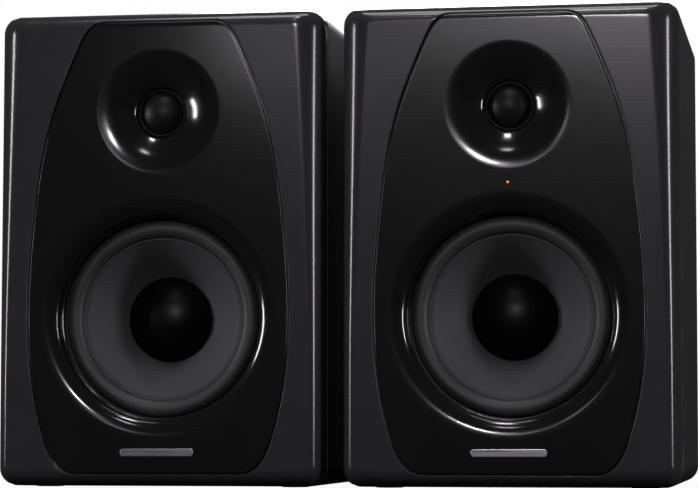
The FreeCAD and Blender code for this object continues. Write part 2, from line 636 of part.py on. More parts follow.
def usb_socket():
    """Square computer socket with its contact tongue."""
    shell = box(USB_X - 6, USB_X + 6, PCB_Y + PCB_T, AMP_FACE + 0.6, USB_Z - 5.5, USB_Z + 5.5)
    cavity = box(USB_X - 4.3, USB_X + 4.3, AMP_FACE - 10, AMP_FACE + 5, USB_Z - 4.0, USB_Z + 4.0)
    tongue = box(USB_X - 2.8, USB_X + 2.8, AMP_FACE - 12, AMP_FACE - 2.0, USB_Z - 1.5, USB_Z + 1.5)
    return shell.cut(cavity).fuse(tongue).removeSplitter()


INLET_W, INLET_H = 24.6, 17.0
FUSE_W, FUSE_H = 22.0, 9.6
ROCKER_W, ROCKER_H = 21.0, 15.0
FREE = 0.25             # play round the drawer and the rocker
ROCKER_TILT = 8.0
ROCKER_PIVOT_Y = AMP_FACE - 2.0
TRUNNION_R, TRUNNION_REACH = 1.2, 12.0


def mains_inlet():
    """One housing with the switch opening, the three-pin appliance inlet and the fuse slot."""
    x, depth = MODULE_X, 24.0
    flange_y = AMP_FACE + 2.4
    body = box(x - 14, x + 14, AMP_FACE - depth, AMP_FACE, MODULE_Z - 33, MODULE_Z + 33)
    flange = slab(MODULE_W, MODULE_H, 3.0, AMP_FACE, flange_y, x, MODULE_Z)
    housing = fused([body, flange])
    inlet = slab(INLET_W, INLET_H, 3.0, AMP_FACE - 16, flange_y + 2, x, INLET_Z)
    housing = housing.cut(inlet)
    for z, w, h, d in ((ROCKER_Z, ROCKER_W, ROCKER_H, 11.0), (FUSE_Z, FUSE_W, FUSE_H, 22.0)):
        w2, h2 = w / 2 + FREE, h / 2 + FREE
        housing = housing.cut(box(x - w2, x + w2, AMP_FACE - d, flange_y + 2, z - h2, z + h2))
    pins = [box(x + dx - 1, x + dx + 1, AMP_FACE - 30, AMP_FACE - 1, INLET_Z + dz - 2, INLET_Z + dz + 2)
            for dx, dz in ((-7, -3.0), (7, -3.0), (0, 2.0))]
    for pin in pins:
        housing = housing.cut(pin)
    reach = TRUNNION_REACH + 0.2
    housing = housing.cut(
        Part.makeCylinder(TRUNNION_R + RUNNING, 2 * reach, V(x - reach, ROCKER_PIVOT_Y, ROCKER_Z), V(1, 0, 0)))
    return Part.makeCompound([housing, *pins])


def fuse_drawer():
    """Drawer that holds the mains fuse, with a finger ridge on its face."""
    x, w, h = MODULE_X, FUSE_W, FUSE_H
    face_y = AMP_FACE + 2.4
    drawer = box(x - w / 2, x + w / 2, AMP_FACE - 20, face_y, FUSE_Z - h / 2, FUSE_Z + h / 2)
    drawer = drawer.cut(box(x - w / 2 + 2, x + w / 2 - 2, AMP_FACE - 17, AMP_FACE - 2, FUSE_Z - h / 2 + 1.6, FUSE_Z + 9))
    ridge = box(x - 6, x + 6, face_y - 1, face_y + 1.4, FUSE_Z + 2.2, FUSE_Z + h / 2 - 0.6)
    return drawer.fuse(ridge).removeSplitter()




def power_rocker():
    """Rocker with two faces that meet in a shallow vee, its upper face pressed in, turning on two trunnions."""
    x, half_w, half_h = MODULE_X, ROCKER_W / 2 - 0.2, ROCKER_H / 2 - 0.5
    outline = [(AMP_FACE + 5.2, half_h), (AMP_FACE + 3.6, 0), (AMP_FACE + 5.2, -half_h),
               (ROCKER_PIVOT_Y - 3.0, -half_h + 1.0), (ROCKER_PIVOT_Y - 5.0, 0), (ROCKER_PIVOT_Y - 3.0, half_h - 1.0)]
    points = [V(x - half_w, y, ROCKER_Z + dz) for y, dz in outline]
    rocker = Part.Face(Part.makePolygon(points + points[:1])).extrude(V(2 * half_w, 0, 0))
    rocker.rotate(V(x, ROCKER_PIVOT_Y, ROCKER_Z), V(1, 0, 0), ROCKER_TILT)
    start = V(x - TRUNNION_REACH, ROCKER_PIVOT_Y, ROCKER_Z)
    return rocker.fuse(Part.makeCylinder(TRUNNION_R, 2 * TRUNNION_REACH, start, V(1, 0, 0)))


def circuit_board():
    """Amplifier board on stand-offs: volume control, switch body, filter capacitors, coils and chips."""
    board = box(-62, 62, PCB_Y, PCB_Y + PCB_T, 102.0, 178.0)
    pot_y = PCB_Y + PCB_T
    pot = box(KNOB_X - 8, KNOB_X + 8, pot_y, REAR - 5.5, KNOB_Z - 8, KNOB_Z + 8)
    bushing = rod(3.55, REAR - 5.5, AMP_FACE + 0.6, KNOB_X, KNOB_Z)
    pot = fused([pot, bushing]).cut(rod(SHAFT_R + RUNNING, PCB_Y + 11, AMP_FACE + 5, KNOB_X, KNOB_Z))
    switch = box(SLIDER_X - 7, SLIDER_X + 7, pot_y, REAR - 0.5, SLIDER_Z - 4, SLIDER_Z + 4)
    for y0, y1, half_x, half_z in ((REAR - 5.06, REAR - 2.94, 4.1, 2.56), (REAR - 4, REAR, 4.0, 1.56)):
        switch = switch.cut(box(SLIDER_X - half_x, SLIDER_X + half_x, y0, y1, SLIDER_Z - half_z, SLIDER_Z + half_z))
    pieces = [board, pot, switch]
    for x, z in ((-44, 150), (-18, 150)):
        pieces.append(rod(11, PCB_Y - 32, PCB_Y, x, z))
    for x, z in ((12, 156), (28, 156), (44, 156)):
        pieces.append(rod(5, PCB_Y - 13, PCB_Y, x, z))
    for x, z in ((-46, 122), (-20, 122)):
        pieces.append(ring(9, 4, PCB_Y - 10, PCB_Y, x, z))
    pieces.append(box(4, 24, PCB_Y - 3, PCB_Y, 118, 132))
    pieces.append(box(34, 50, PCB_Y - 3, PCB_Y, 112, 122))
    for x in (-56.0, 56.0):
        pieces.append(rod(3, PCB_Y + PCB_T, REAR, x, 174.0))
    for x in (-56.0, -6.0):
        pieces.append(rod(3, PCB_Y + PCB_T, REAR, x, 106.0))
    return Part.makeCompound(pieces)


def transformer():
    """Toroidal mains transformer on the cabinet floor, held by a washer and a bolt."""
    x, y, z = -12.0, 124.0, CABINET_BOTTOM + WALL
    height, r_out, r_in, round_r = 36.0, 38.0, 13.0, 7.0
    centre = V(x, y, z)
    core = Part.makeCylinder(r_out, height, centre)
    core = core.makeFillet(round_r, [e for e in core.Edges if len(e.Vertexes) == 1 and e.Length > 100])
    core = core.cut(Part.makeCylinder(r_in, height + 2, V(x, y, z - 1)))
    washer = Part.makeCylinder(24, 2.0, V(x, y, z + height))
    washer = washer.cut(Part.makeCylinder(3.0, 5, V(x, y, z + height - 1)))
    bolt = Part.makeCylinder(3.0, height + 2, centre).fuse(Part.makeCylinder(6.0, 4.5, V(x, y, z + height + 2)))
    return Part.makeCompound([core, washer, bolt.removeSplitter()])


# ---- left speaker: terminal cup and crossover ---------------------------------------------------
CUP_Z = 100.0
CUP_SCREWS = [(x, CUP_Z + z) for x in (-39.0, 39.0) for z in (-26.0, 26.0)]
CUP_T = 2.4


def terminal_cup():
    """Moulded plate over the hole in the back of the left speaker, with the spring terminals in it."""
    plate = slab(88.0, 62.0, 6.0, REAR, REAR + CUP_T, 0, CUP_Z)
    for x, z in CUP_SCREWS:
        plate = plate.cut(rod(1.9, REAR - 1, REAR + 9, x, z))
    opening = box(-19, 19, REAR - TERMINAL_DEPTH, REAR + 9, CUP_Z - 10, CUP_Z + 10)
    return plate.cut(opening).fuse(terminal_body(0, REAR + CUP_T, CUP_Z)).removeSplitter()


def cup_screws():
    return Part.makeCompound([pan_screw(x, REAR + CUP_T, z, 3.4, 1.6, 13.0) for x, z in CUP_SCREWS])


def crossover_board():
    """Passive crossover on the inside of the rear panel: board, two coils, two capacitors, a resistor."""
    y1 = INNER_REAR
    board_y = y1 - 6.0
    pieces = [box(-50, 50, board_y - 1.6, board_y, 34, 74)]
    pieces += [rod(3, board_y, y1, x, z) for x in (-45, 45) for z in (39, 69)]
    pieces.append(ring(16, 8, board_y - 17.6, board_y - 1.6, -30, 54))
    pieces.append(ring(11, 5, board_y - 13.6, board_y - 1.6, 6, 50))
    for z in (44.0, 62.0):
        pieces.append(Part.makeCylinder(6, 24, V(22, board_y - 7.6, z), V(1, 0, 0)))
    pieces.append(box(-8, 12, board_y - 8.6, board_y - 1.6, 65, 72))
    return Part.makeCompound(pieces)


# ---- writing out --------------------------------------------------------------------------------
SIDES = {"left": -(CABINET_W + GAP) / 2, "right": (CABINET_W + GAP) / 2}


def write(side, name, shape):
    """Moves a speaker's piece to its place in the pair and writes it as one node."""
    placed = shape.copy()
    placed.translate(V(SIDES[side], -OVERALL_D / 2, 0))
    solids = placed.Solids
    assert solids, (side, name)
    for solid in solids:
        assert solid.isValid() and solid.Volume > 0, (side, name)
    kept = solids[0] if len(solids) == 1 else Part.makeCompound(solids)
    kept.exportStep(f"parts/{side}_{name}.step")
    print(f"{side}_{name}: {len(solids)} solid(s), {sum(s.Volume for s in solids):.0f} mm3")


def shared_pieces():
    """What both speakers have in common."""
    return {
        "baffle_board": baffle_board(), "front_bezel": front_bezel(), "nameplate": nameplate(), "feet": feet(),
        "port_tube": port_tube(), "woofer_basket": woofer_basket(), "woofer_surround": woofer_surround(),
        "woofer_cone": woofer_cone(), "woofer_dust_cap": woofer_dust_cap(), "woofer_voice_coil": woofer_voice_coil(),
        "woofer_spider": woofer_spider(), "woofer_magnet": woofer_magnet(), "woofer_pole_plates": woofer_pole_plates(),
        "woofer_screws": woofer_screws(), "tweeter_housing": tweeter_housing(), "tweeter_dome": tweeter_dome(),
        "tweeter_magnet": tweeter_magnet()}


def right_pieces():
    """The powered speaker's own pieces."""
    cut = box(-CUT_W / 2, CUT_W / 2, INNER_REAR - 1, REAR + 1, AMP_Z - CUT_H / 2, AMP_Z + CUT_H / 2)
    screw_holes = [(x, z, 1.6) for x, z in AMP_SCREWS]
    return {
        "cabinet": cabinet(cut, screw_holes), "center_panel": center_panel(True), "power_led": power_led(),
        "amp_plate": amp_plate(), "plate_screws": plate_screws(), "heatsink": heatsink(),
        "circuit_board": circuit_board(), "transformer": transformer(), "volume_knob": volume_knob(),
        "treble_slider": treble_slider(), "line_jacks": line_jacks(), "rca_jacks": rca_jacks(),
        "usb_socket": usb_socket(), "mains_inlet": mains_inlet(), "fuse_drawer": fuse_drawer(),
        "power_rocker": power_rocker(), "terminal_block": terminal_body(OUT_X, AMP_FACE, OUT_Z),
        "red_lever": terminal_lever(OUT_X + LEVER_X, AMP_FACE, OUT_Z),
        "black_lever": terminal_lever(OUT_X - LEVER_X, AMP_FACE, OUT_Z)}


def left_pieces():
    """The passive speaker's own pieces."""
    cut = box(-21, 21, INNER_REAR - 1, REAR + 1, CUP_Z - 12, CUP_Z + 12)
    screw_holes = [(x, z, 1.6) for x, z in CUP_SCREWS]
    return {
        "cabinet": cabinet(cut, screw_holes), "center_panel": center_panel(False), "terminal_cup": terminal_cup(),
        "cup_screws": cup_screws(), "crossover_board": crossover_board(),
        "red_lever": terminal_lever(LEVER_X, REAR + CUP_T, CUP_Z),
        "black_lever": terminal_lever(-LEVER_X, REAR + CUP_T, CUP_Z)}


common_pieces = shared_pieces()
for side_name, own_pieces in (("left", left_pieces()), ("right", right_pieces())):
    for piece_name, piece in {**common_pieces, **own_pieces}.items():
        write(side_name, piece_name, piece)
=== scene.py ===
"""The looks of a pair of powered desktop speakers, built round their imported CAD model."""

import math

import bmesh
import bpy
import numpy as np
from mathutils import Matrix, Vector


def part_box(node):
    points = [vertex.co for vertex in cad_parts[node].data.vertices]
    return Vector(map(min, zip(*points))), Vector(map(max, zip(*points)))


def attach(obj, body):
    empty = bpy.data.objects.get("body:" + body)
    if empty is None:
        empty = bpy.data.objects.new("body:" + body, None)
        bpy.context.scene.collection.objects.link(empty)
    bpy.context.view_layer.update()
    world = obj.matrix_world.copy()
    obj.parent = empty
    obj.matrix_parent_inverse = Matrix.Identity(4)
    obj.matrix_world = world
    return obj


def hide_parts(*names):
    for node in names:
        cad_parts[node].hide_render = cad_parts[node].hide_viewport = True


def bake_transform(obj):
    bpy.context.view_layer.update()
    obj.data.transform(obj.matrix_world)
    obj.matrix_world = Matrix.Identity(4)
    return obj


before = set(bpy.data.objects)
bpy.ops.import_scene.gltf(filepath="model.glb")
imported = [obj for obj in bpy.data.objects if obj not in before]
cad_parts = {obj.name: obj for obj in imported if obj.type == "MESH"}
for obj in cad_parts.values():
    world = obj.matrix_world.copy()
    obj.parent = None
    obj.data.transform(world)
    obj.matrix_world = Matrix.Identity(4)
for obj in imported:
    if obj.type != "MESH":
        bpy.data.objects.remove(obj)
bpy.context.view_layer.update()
MM = 0.001
SIDES = ("left", "right")


# ---- places read from the CAD model, in millimetres ---------------------------------------------
def middle(node, axis):
    """Middle of a CAD node's box along one axis."""
    low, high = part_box(node)
    return (low[axis] + high[axis]) / 2 / MM


low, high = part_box("right_front_bezel")
FRONT = low.y / MM
BOTTOM, TOP = low.z / MM, high.z / MM
MIDDLE_Z = (TOP + BOTTOM) / 2
HALF_W = (high.x - low.x) / 2 / MM
SEAM = high.y / MM - FRONT
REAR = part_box("right_cabinet")[1].y / MM - FRONT
CENTRE = {side: middle(f"{side}_front_bezel", 0) for side in SIDES}
TWEETER_Z = middle("right_tweeter_dome", 2)
WOOFER_Z = middle("right_woofer_cone", 2)
PORT_Z = middle("right_port_tube", 2)
LED_Z = middle("right_power_led", 2)
NAMEPLATE_Z = middle("right_nameplate", 2)


# ---- curves and meshes --------------------------------------------------------------------------
QUARTER = 0.5523  # handle length of the cubic that follows a quarter of a circle of radius 1
SHARE = 0.45  # the most of each of its sides that a rounded corner takes up
TINY = 1e-6


def spline(points, count, start=None, end=None):
    """A smooth curve through points, as count even steps, leaving along start and arriving along end."""
    p = np.array(points, float)
    t = np.concatenate([[0], np.cumsum(np.linalg.norm(np.diff(p, axis=0), axis=1))])
    n, h = len(p), np.diff(t)
    a, b = np.zeros((n, n)), np.zeros((n, p.shape[1]))
    for i in range(1, n - 1):
        a[i, i - 1], a[i, i], a[i, i + 1] = h[i], 2 * (h[i - 1] + h[i]), h[i - 1]
        b[i] = 3 * (h[i] * (p[i] - p[i - 1]) / h[i - 1] + h[i - 1] * (p[i + 1] - p[i]) / h[i])
    for row, other, way, step in ((0, 1, start, p[1] - p[0]), (-1, -2, end, p[-1] - p[-2])):
        span = h[0] if row == 0 else h[-1]
        if way is None:
            a[row, row], a[row, other], b[row] = 2, 1, 3 * step / span
        else:
            a[row, row], b[row] = 1, np.array(way, float) / np.linalg.norm(way)
    m = np.linalg.solve(a, b)
    fine = np.linspace(0, t[-1], count * 6)
    k = np.clip(np.searchsorted(t, fine, "right") - 1, 0, n - 2)
    s = ((fine - t[k]) / h[k])[:, None]
    hk = h[k][:, None]
    curve = ((1 + 2 * s) * (1 - s) ** 2 * p[k] + s * (1 - s) ** 2 * hk * m[k]
             + s * s * (3 - 2 * s) * p[k + 1] + s * s * (s - 1) * hk * m[k + 1])
    return evenly(curve, count)


def evenly(curve, count):
    """The same line as count points at equal steps along it."""
    run = np.concatenate([[0], np.cumsum(np.linalg.norm(np.diff(curve, axis=0), axis=1))])
    steps = np.linspace(0, run[-1], count)
    return np.stack([np.interp(steps, run, curve[:, i]) for i in range(curve.shape[1])], 1)


def bend(start, start_way, end, end_way, size, count):
    """A smooth corner of about that size between two points, tangent to both ways."""
    a, b = np.array(start, float), np.array(end, float)
    ta, tb = np.array(start_way, float), np.array(end_way, float)
    ta, tb = ta / np.linalg.norm(ta), tb / np.linalg.norm(tb)
    t = np.linspace(0, 1, count)[:, None]
    c, d = a + QUARTER * size * ta, b - QUARTER * size * tb
    return (1 - t) ** 3 * a + 3 * (1 - t) ** 2 * t * c + 3 * (1 - t) * t**2 * d + t**3 * b


def outward(loop):
    """Unit normals of a closed counter-clockwise loop."""
    way = np.roll(loop, -1, 0) - np.roll(loop, 1, 0)
    way /= np.linalg.norm(way, axis=1)[:, None]
    return np.stack([way[:, 1], -way[:, 0]], 1)


def arc(cx, cy, r, start, stop, count):
    """Points (radius, y) along an arc round (cx, cy), angles in degrees."""
    a = np.radians(np.linspace(start, stop, count))
    return [(cx + r * math.cos(v), cy + r * math.sin(v)) for v in a]


def rounded(points, radius, count=4, closed=True):
    """A profile with its corners rounded off."""
    out, n = [], len(points)
    for i, p in enumerate(points):
        if not closed and i in (0, n - 1):
            out.append(tuple(p))
            continue
        p, a, b = (np.array(q, float) for q in (p, points[i - 1], points[(i + 1) % n]))
        da, db = a - p, b - p
        la, lb = np.linalg.norm(da), np.linalg.norm(db)
        r = min(radius, SHARE * la, SHARE * lb)
        if r < TINY or p[0] < TINY:
            out.append(tuple(p))
            continue
        s, e = p + da / la * r, p + db / lb * r
        for t in np.linspace(0, 1, count):
            out.append(tuple((1 - t) ** 2 * s + 2 * t * (1 - t) * p + t * t * e))
    return out


class Shape:
    """A mesh being built, in one speaker's millimetres: x from its centre line, y from its front, z up."""

    def __init__(self, side):
        self.bm = bmesh.new()
        self.cx = CENTRE[side]

    def vert(self, x, y, z):
        return self.bm.verts.new(((self.cx + x) * MM, (FRONT + y) * MM, z * MM))

    def loop(self, xz, y):
        depth = np.broadcast_to(np.asarray(y, float), (len(xz),))
        return [self.vert(x, d, z) for (x, z), d in zip(xz, depth)]

    def bridge(self, a, b, closed=True):
        """Faces between two loops of the same length."""
        n = len(a)
        for i in range(n if closed else n - 1):
            j = (i + 1) % n
            quad = [a[i], a[j], b[j], b[i]]
            quad = [v for k, v in enumerate(quad) if v is not quad[k - 1]]
            if len(quad) > 2:
                self.bm.faces.new(quad)

    def fill(self, *loops):
        """A flat face inside the first loop and outside the others."""
        edges = []
        for ring in loops:
            for i, v in enumerate(ring):
                w = ring[(i + 1) % len(ring)]
                edges.append(self.bm.edges.get((v, w)) or self.bm.edges.new((v, w)))
        bmesh.ops.triangle_fill(self.bm, use_beauty=True, use_dissolve=False, edges=edges)

    def circle(self, r, y, x, z, count):
        a = np.linspace(0, 2 * math.pi, count, endpoint=False)
        return self.loop(np.stack([x + r * np.cos(a), z + r * np.sin(a)], 1), y)

    def lathe(self, profile, x, z, count=160, closed=True):
        """Turns (radius, y) points about an axis along Y and returns the loops. One on the axis is one vertex."""
        rings = []
        for r, y in profile:
            rings.append([self.vert(x, y, z)] * count if r < TINY else self.circle(r, y, x, z, count))
        for a, b in zip(rings, rings[1:] + rings[:1] if closed else rings[1:]):
            if a[0] is a[1] and b[0] is b[1]:
                continue
            for i in range(count):
                j = (i + 1) % count
                quad = [a[i], a[j], b[j], b[i]]
                seen = [v for k, v in enumerate(quad) if v not in quad[:k]]
                self.bm.faces.new(seen)
        return rings

    def done(self, name, material, body=None, sharp=40.0):
        """The finished object, smooth except at edges sharper than that angle, riding on the body."""
        bmesh.ops.recalc_face_normals(self.bm, faces=self.bm.faces)
        mesh = bpy.data.meshes.new(name)
        self.bm.to_mesh(mesh)
        self.bm.free()
        for face in mesh.polygons:
            face.use_smooth = True
        mesh.set_sharp_from_angle(angle=math.radians(sharp))
        piece = bpy.data.objects.new(name, mesh)
        bpy.context.scene.collection.objects.link(piece)
        mesh.materials.append(material)
        if body:
            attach(piece, body)
        return piece


# ---- materials ----------------------------------------------------------------------------------
RAMP_LOW, RAMP_HIGH = 0.3, 0.7  # where in the noise the darker colour ends and the lighter one begins
LEAST_ROUGHNESS = 0.02
COLOUR_NOISE, GLOSS_NOISE = 60, 160  # scales, per metre, of the slow changes in every plain finish


class Finish:
    """A node material whose colour, roughness and surface vary a little, as the real one's do."""

    def __init__(self, name, roughness, metallic=0.0, **sockets):
        self.material = bpy.data.materials.new(name)
        self.material.use_nodes = True
        self.tree = self.material.node_tree
        self.shader = self.tree.nodes["Principled BSDF"]
        self.shader.inputs["Metallic"].default_value = metallic
        self.shader.inputs["Roughness"].default_value = roughness
        self.roughness = roughness
        for socket, value in sockets.items():
            self.shader.inputs[socket.replace("_", " ")].default_value = value
        self.place = self.node("ShaderNodeTexCoord").outputs["Object"]
        self.normal = None

    def node(self, kind, **settings):
        made = self.tree.nodes.new(kind)
        for key, value in settings.items():
            setattr(made, key, value)
        return made

    def join(self, a, b):
        self.tree.links.new(a, b)

    def noise(self, scale, detail=3.0, stretch=(1, 1, 1)):
        mapping = self.node("ShaderNodeMapping")
        mapping.inputs["Scale"].default_value = stretch
        self.join(self.place, mapping.inputs["Vector"])
        noise = self.node("ShaderNodeTexNoise")
        noise.inputs["Scale"].default_value = scale
        noise.inputs["Detail"].default_value = detail
        self.join(mapping.outputs["Vector"], noise.inputs["Vector"])
        return noise.outputs["Fac"]

    def cells(self, scale):
        cells = self.node("ShaderNodeTexVoronoi")
        cells.inputs["Scale"].default_value = scale
        self.join(self.place, cells.inputs["Vector"])
        return cells.outputs["Distance"]

    def rings(self, x, z, pitch):
        """Circles round an axis along Y, for turned or pressed surfaces, in millimetres."""
        split = self.node("ShaderNodeSeparateXYZ")
        self.join(self.place, split.inputs["Vector"])
        radius = self.node("ShaderNodeMath", operation="POWER")
        parts = []
        for axis, centre in (("X", x), ("Z", z)):
            away = self.node("ShaderNodeMath", operation="SUBTRACT")
            self.join(split.outputs[axis], away.inputs[0])
            away.inputs[1].default_value = centre * MM
            square = self.node("ShaderNodeMath", operation="MULTIPLY")
            self.join(away.outputs[0], square.inputs[0])
            self.join(away.outputs[0], square.inputs[1])
            parts.append(square.outputs[0])
        total = self.node("ShaderNodeMath", operation="ADD")
        self.join(parts[0], total.inputs[0])
        self.join(parts[1], total.inputs[1])
        self.join(total.outputs[0], radius.inputs[0])
        radius.inputs[1].default_value = 0.5
        wave = self.node("ShaderNodeMath", operation="MULTIPLY")
        self.join(radius.outputs[0], wave.inputs[0])
        wave.inputs[1].default_value = 2 * math.pi / (pitch * MM)
        sine = self.node("ShaderNodeMath", operation="SINE")
        self.join(wave.outputs[0], sine.inputs[0])
        return sine.outputs[0]

    def colour(self, dark, light, source):
        ramp = self.node("ShaderNodeValToRGB")
        ends = ramp.color_ramp.elements
        ends[0].position, ends[1].position = RAMP_LOW, RAMP_HIGH
        ends[0].color, ends[1].color = (*dark, 1), (*light, 1)
        self.join(source, ramp.inputs["Fac"])
        self.join(ramp.outputs["Color"], self.shader.inputs["Base Color"])
        return self

    def gloss(self, spread, source):
        change = self.node("ShaderNodeMapRange")
        change.inputs["To Min"].default_value = max(LEAST_ROUGHNESS, self.roughness - spread)
        change.inputs["To Max"].default_value = self.roughness + spread
        self.join(source, change.inputs["Value"])
        self.join(change.outputs["Result"], self.shader.inputs["Roughness"])
        return self

    def bump(self, source, height_mm, strength=1.0):
        bump = self.node("ShaderNodeBump")
        bump.inputs["Strength"].default_value = strength
        bump.inputs["Distance"].default_value = height_mm * MM
        self.join(source, bump.inputs["Height"])
        if self.normal:
            self.join(self.normal, bump.inputs["Normal"])
        self.normal = bump.outputs["Normal"]
        self.join(self.normal, self.shader.inputs["Normal"])
        return self


def plain(name, dark, light, roughness, grain_mm, height_mm, metallic=0.0, spread=0.04, **sockets):
    """A finish with a fine grain of that size, and slow changes in colour and gloss."""
    finish = Finish(name, roughness, metallic, **sockets)
    finish.colour(dark, light, finish.noise(COLOUR_NOISE, 4))
    finish.gloss(spread, finish.noise(GLOSS_NOISE, 2))
    return finish.bump(finish.noise(0.5 / (grain_mm * MM), 2), height_mm)


# name, darker colour, lighter colour, roughness, size of the grain in mm, height of the grain in mm
bezel_finish = plain("bezel_plastic", (0.022, 0.022, 0.023), (0.026, 0.025, 0.027), 0.18, 0.6, 0.0005,
                     spread=0.02, Specular_IOR_Level=0.30)
panel_finish = plain("panel_gloss", (0.0050, 0.0050, 0.0056), (0.0058, 0.0058, 0.0064), 0.13, 1.2, 0.0006,
                     spread=0.015)
wrap_finish = plain("wrapped_board", (0.008, 0.008, 0.009), (0.012, 0.012, 0.013), 0.58, 0.6, 0.02,
                    Specular_IOR_Level=0.25)
wrap_finish.bump(wrap_finish.cells(900), 0.03, 0.6)
rubber_finish = plain("surround_rubber", (0.020, 0.020, 0.021), (0.024, 0.024, 0.025), 0.55, 0.5, 0.006)
cap_finish = plain("cap_gloss", (0.0012, 0.0012, 0.0013), (0.0018, 0.0018, 0.002), 0.36, 0.8, 0.001,
                   spread=0.02, Specular_IOR_Level=0.13)
foot_finish = plain("rubber_black", (0.014, 0.014, 0.014), (0.022, 0.022, 0.022), 0.75, 0.5, 0.02)
plate_finish = plain("plate_paint", (0.014, 0.014, 0.015), (0.020, 0.020, 0.021), 0.5, 0.3, 0.02)
black_plastic = plain("black_plastic", (0.012, 0.012, 0.0125), (0.017, 0.017, 0.018), 0.42, 0.3, 0.008)
port_finish = plain("port_plastic", (0.012, 0.012, 0.0125), (0.016, 0.016, 0.017), 0.38, 0.35, 0.006)
knob_finish = plain("knob_plastic", (0.012, 0.012, 0.0125), (0.018, 0.018, 0.019), 0.35, 0.3, 0.006)
rocker_finish = plain("rocker_plastic", (0.008, 0.008, 0.0085), (0.011, 0.011, 0.0115), 0.4, 0.5, 0.003)
red_finish = plain("lever_red", (0.38, 0.010, 0.008), (0.46, 0.014, 0.010), 0.28, 0.5, 0.004)
lever_finish = plain("lever_black", (0.008, 0.008, 0.0085), (0.012, 0.012, 0.0125), 0.28, 0.5, 0.004)
slider_finish = plain("slider_plastic", (0.52, 0.52, 0.50), (0.60, 0.60, 0.58), 0.4, 0.4, 0.004)
print_finish = plain("printed_white", (0.62, 0.62, 0.62), (0.72, 0.72, 0.72), 0.55, 0.3, 0.004)
sink_finish = plain("sink_aluminium", (0.022, 0.022, 0.023), (0.032, 0.032, 0.034), 0.38, 0.25, 0.01,
                    metallic=0.7)
screw_finish = plain("black_steel", (0.03, 0.03, 0.031), (0.05, 0.05, 0.052), 0.32, 0.3, 0.006, metallic=0.9)
zinc_finish = plain("zinc_steel", (0.42, 0.42, 0.43), (0.58, 0.58, 0.58), 0.32, 0.4, 0.008,
                    metallic=1.0, spread=0.1)
basket_finish = plain("basket_steel", (0.015, 0.015, 0.016), (0.025, 0.025, 0.026), 0.45, 0.4, 0.01)
ferrite_finish = plain("ferrite", (0.03, 0.03, 0.032), (0.05, 0.05, 0.055), 0.6, 0.4, 0.02)
usb_finish = plain("usb_shell", (0.55, 0.55, 0.56), (0.68, 0.68, 0.69), 0.28, 0.3, 0.004, metallic=1.0)
nickel_finish = plain("phono_metal", (0.66, 0.63, 0.57), (0.78, 0.75, 0.70), 0.2, 0.3, 0.003, metallic=1.0)
white_insert = plain("phono_white", (0.66, 0.66, 0.64), (0.74, 0.74, 0.72), 0.4, 0.4, 0.004)
red_insert = plain("phono_red", (0.42, 0.012, 0.010), (0.52, 0.018, 0.014), 0.4, 0.4, 0.004)
board_finish = plain("board_green", (0.010, 0.06, 0.022), (0.018, 0.11, 0.04), 0.4, 0.8, 0.02)
tape_finish = plain("transformer_wrap", (0.52, 0.36, 0.05), (0.66, 0.48, 0.08), 0.35, 1.5, 0.08)
copper_finish = plain("copper_coil", (0.42, 0.16, 0.07), (0.62, 0.26, 0.11), 0.3, 0.3, 0.03, metallic=1.0)
jack_finish = plain("jack_plastic", (0.010, 0.010, 0.0105), (0.015, 0.015, 0.0155), 0.4, 0.3, 0.006)

fibre_finish = Finish("bare_board", 0.85)
fibre_finish.colour((0.20, 0.13, 0.07), (0.32, 0.22, 0.13), fibre_finish.noise(900, 6))
fibre_finish.bump(fibre_finish.noise(2500, 4), 0.1)

spider_finish = Finish("spider_cloth", 0.85, Sheen_Weight=0.3)
spider_finish.colour((0.34, 0.20, 0.06), (0.50, 0.32, 0.12), spider_finish.noise(1800, 4))
spider_finish.bump(spider_finish.cells(1600), 0.15)

silk_finish = Finish("dome_silk", 0.42, Specular_IOR_Level=0.16)
silk_finish.colour((0.005, 0.005, 0.0055), (0.008, 0.008, 0.0085), silk_finish.noise(400, 4))
silk_finish.gloss(0.05, silk_finish.noise(900, 2))
silk_finish.bump(silk_finish.cells(2400), 0.02, 0.5)

strip_finish = Finish("satin_metal", 0.3, 1.0)
strip_finish.colour((0.30, 0.30, 0.315), (0.42, 0.42, 0.435), strip_finish.noise(900, 3, (0.05, 1, 1)))
strip_finish.gloss(0.08, strip_finish.noise(2600, 2, (0.03, 1, 1)))
strip_finish.bump(strip_finish.noise(5200, 2, (0.02, 1, 1)), 0.004)

cone_finish = {}
for side in SIDES:
    pulp = Finish(f"cone_paper_{side}", 0.7)
    pulp.colour((0.034, 0.034, 0.036), (0.040, 0.040, 0.042), pulp.noise(700, 6))
    pulp.gloss(0.06, pulp.noise(1200, 3))
    pulp.bump(pulp.noise(2200, 5), 0.05, 0.6)
    pulp.bump(pulp.rings(CENTRE[side], WOOFER_Z, 1.1), 0.008, 0.6)
    cone_finish[side] = pulp.material

led_finish = Finish("led_amber", 0.25)
led_finish.colour((0.55, 0.07, 0.02), (0.8, 0.14, 0.04), led_finish.noise(900, 2))
led_finish.shader.inputs["Emission Color"].default_value = (1.0, 0.13, 0.03, 1)
led_finish.shader.inputs["Emission Strength"].default_value = 2.2
led_finish.bump(led_finish.noise(1500, 2), 0.01)


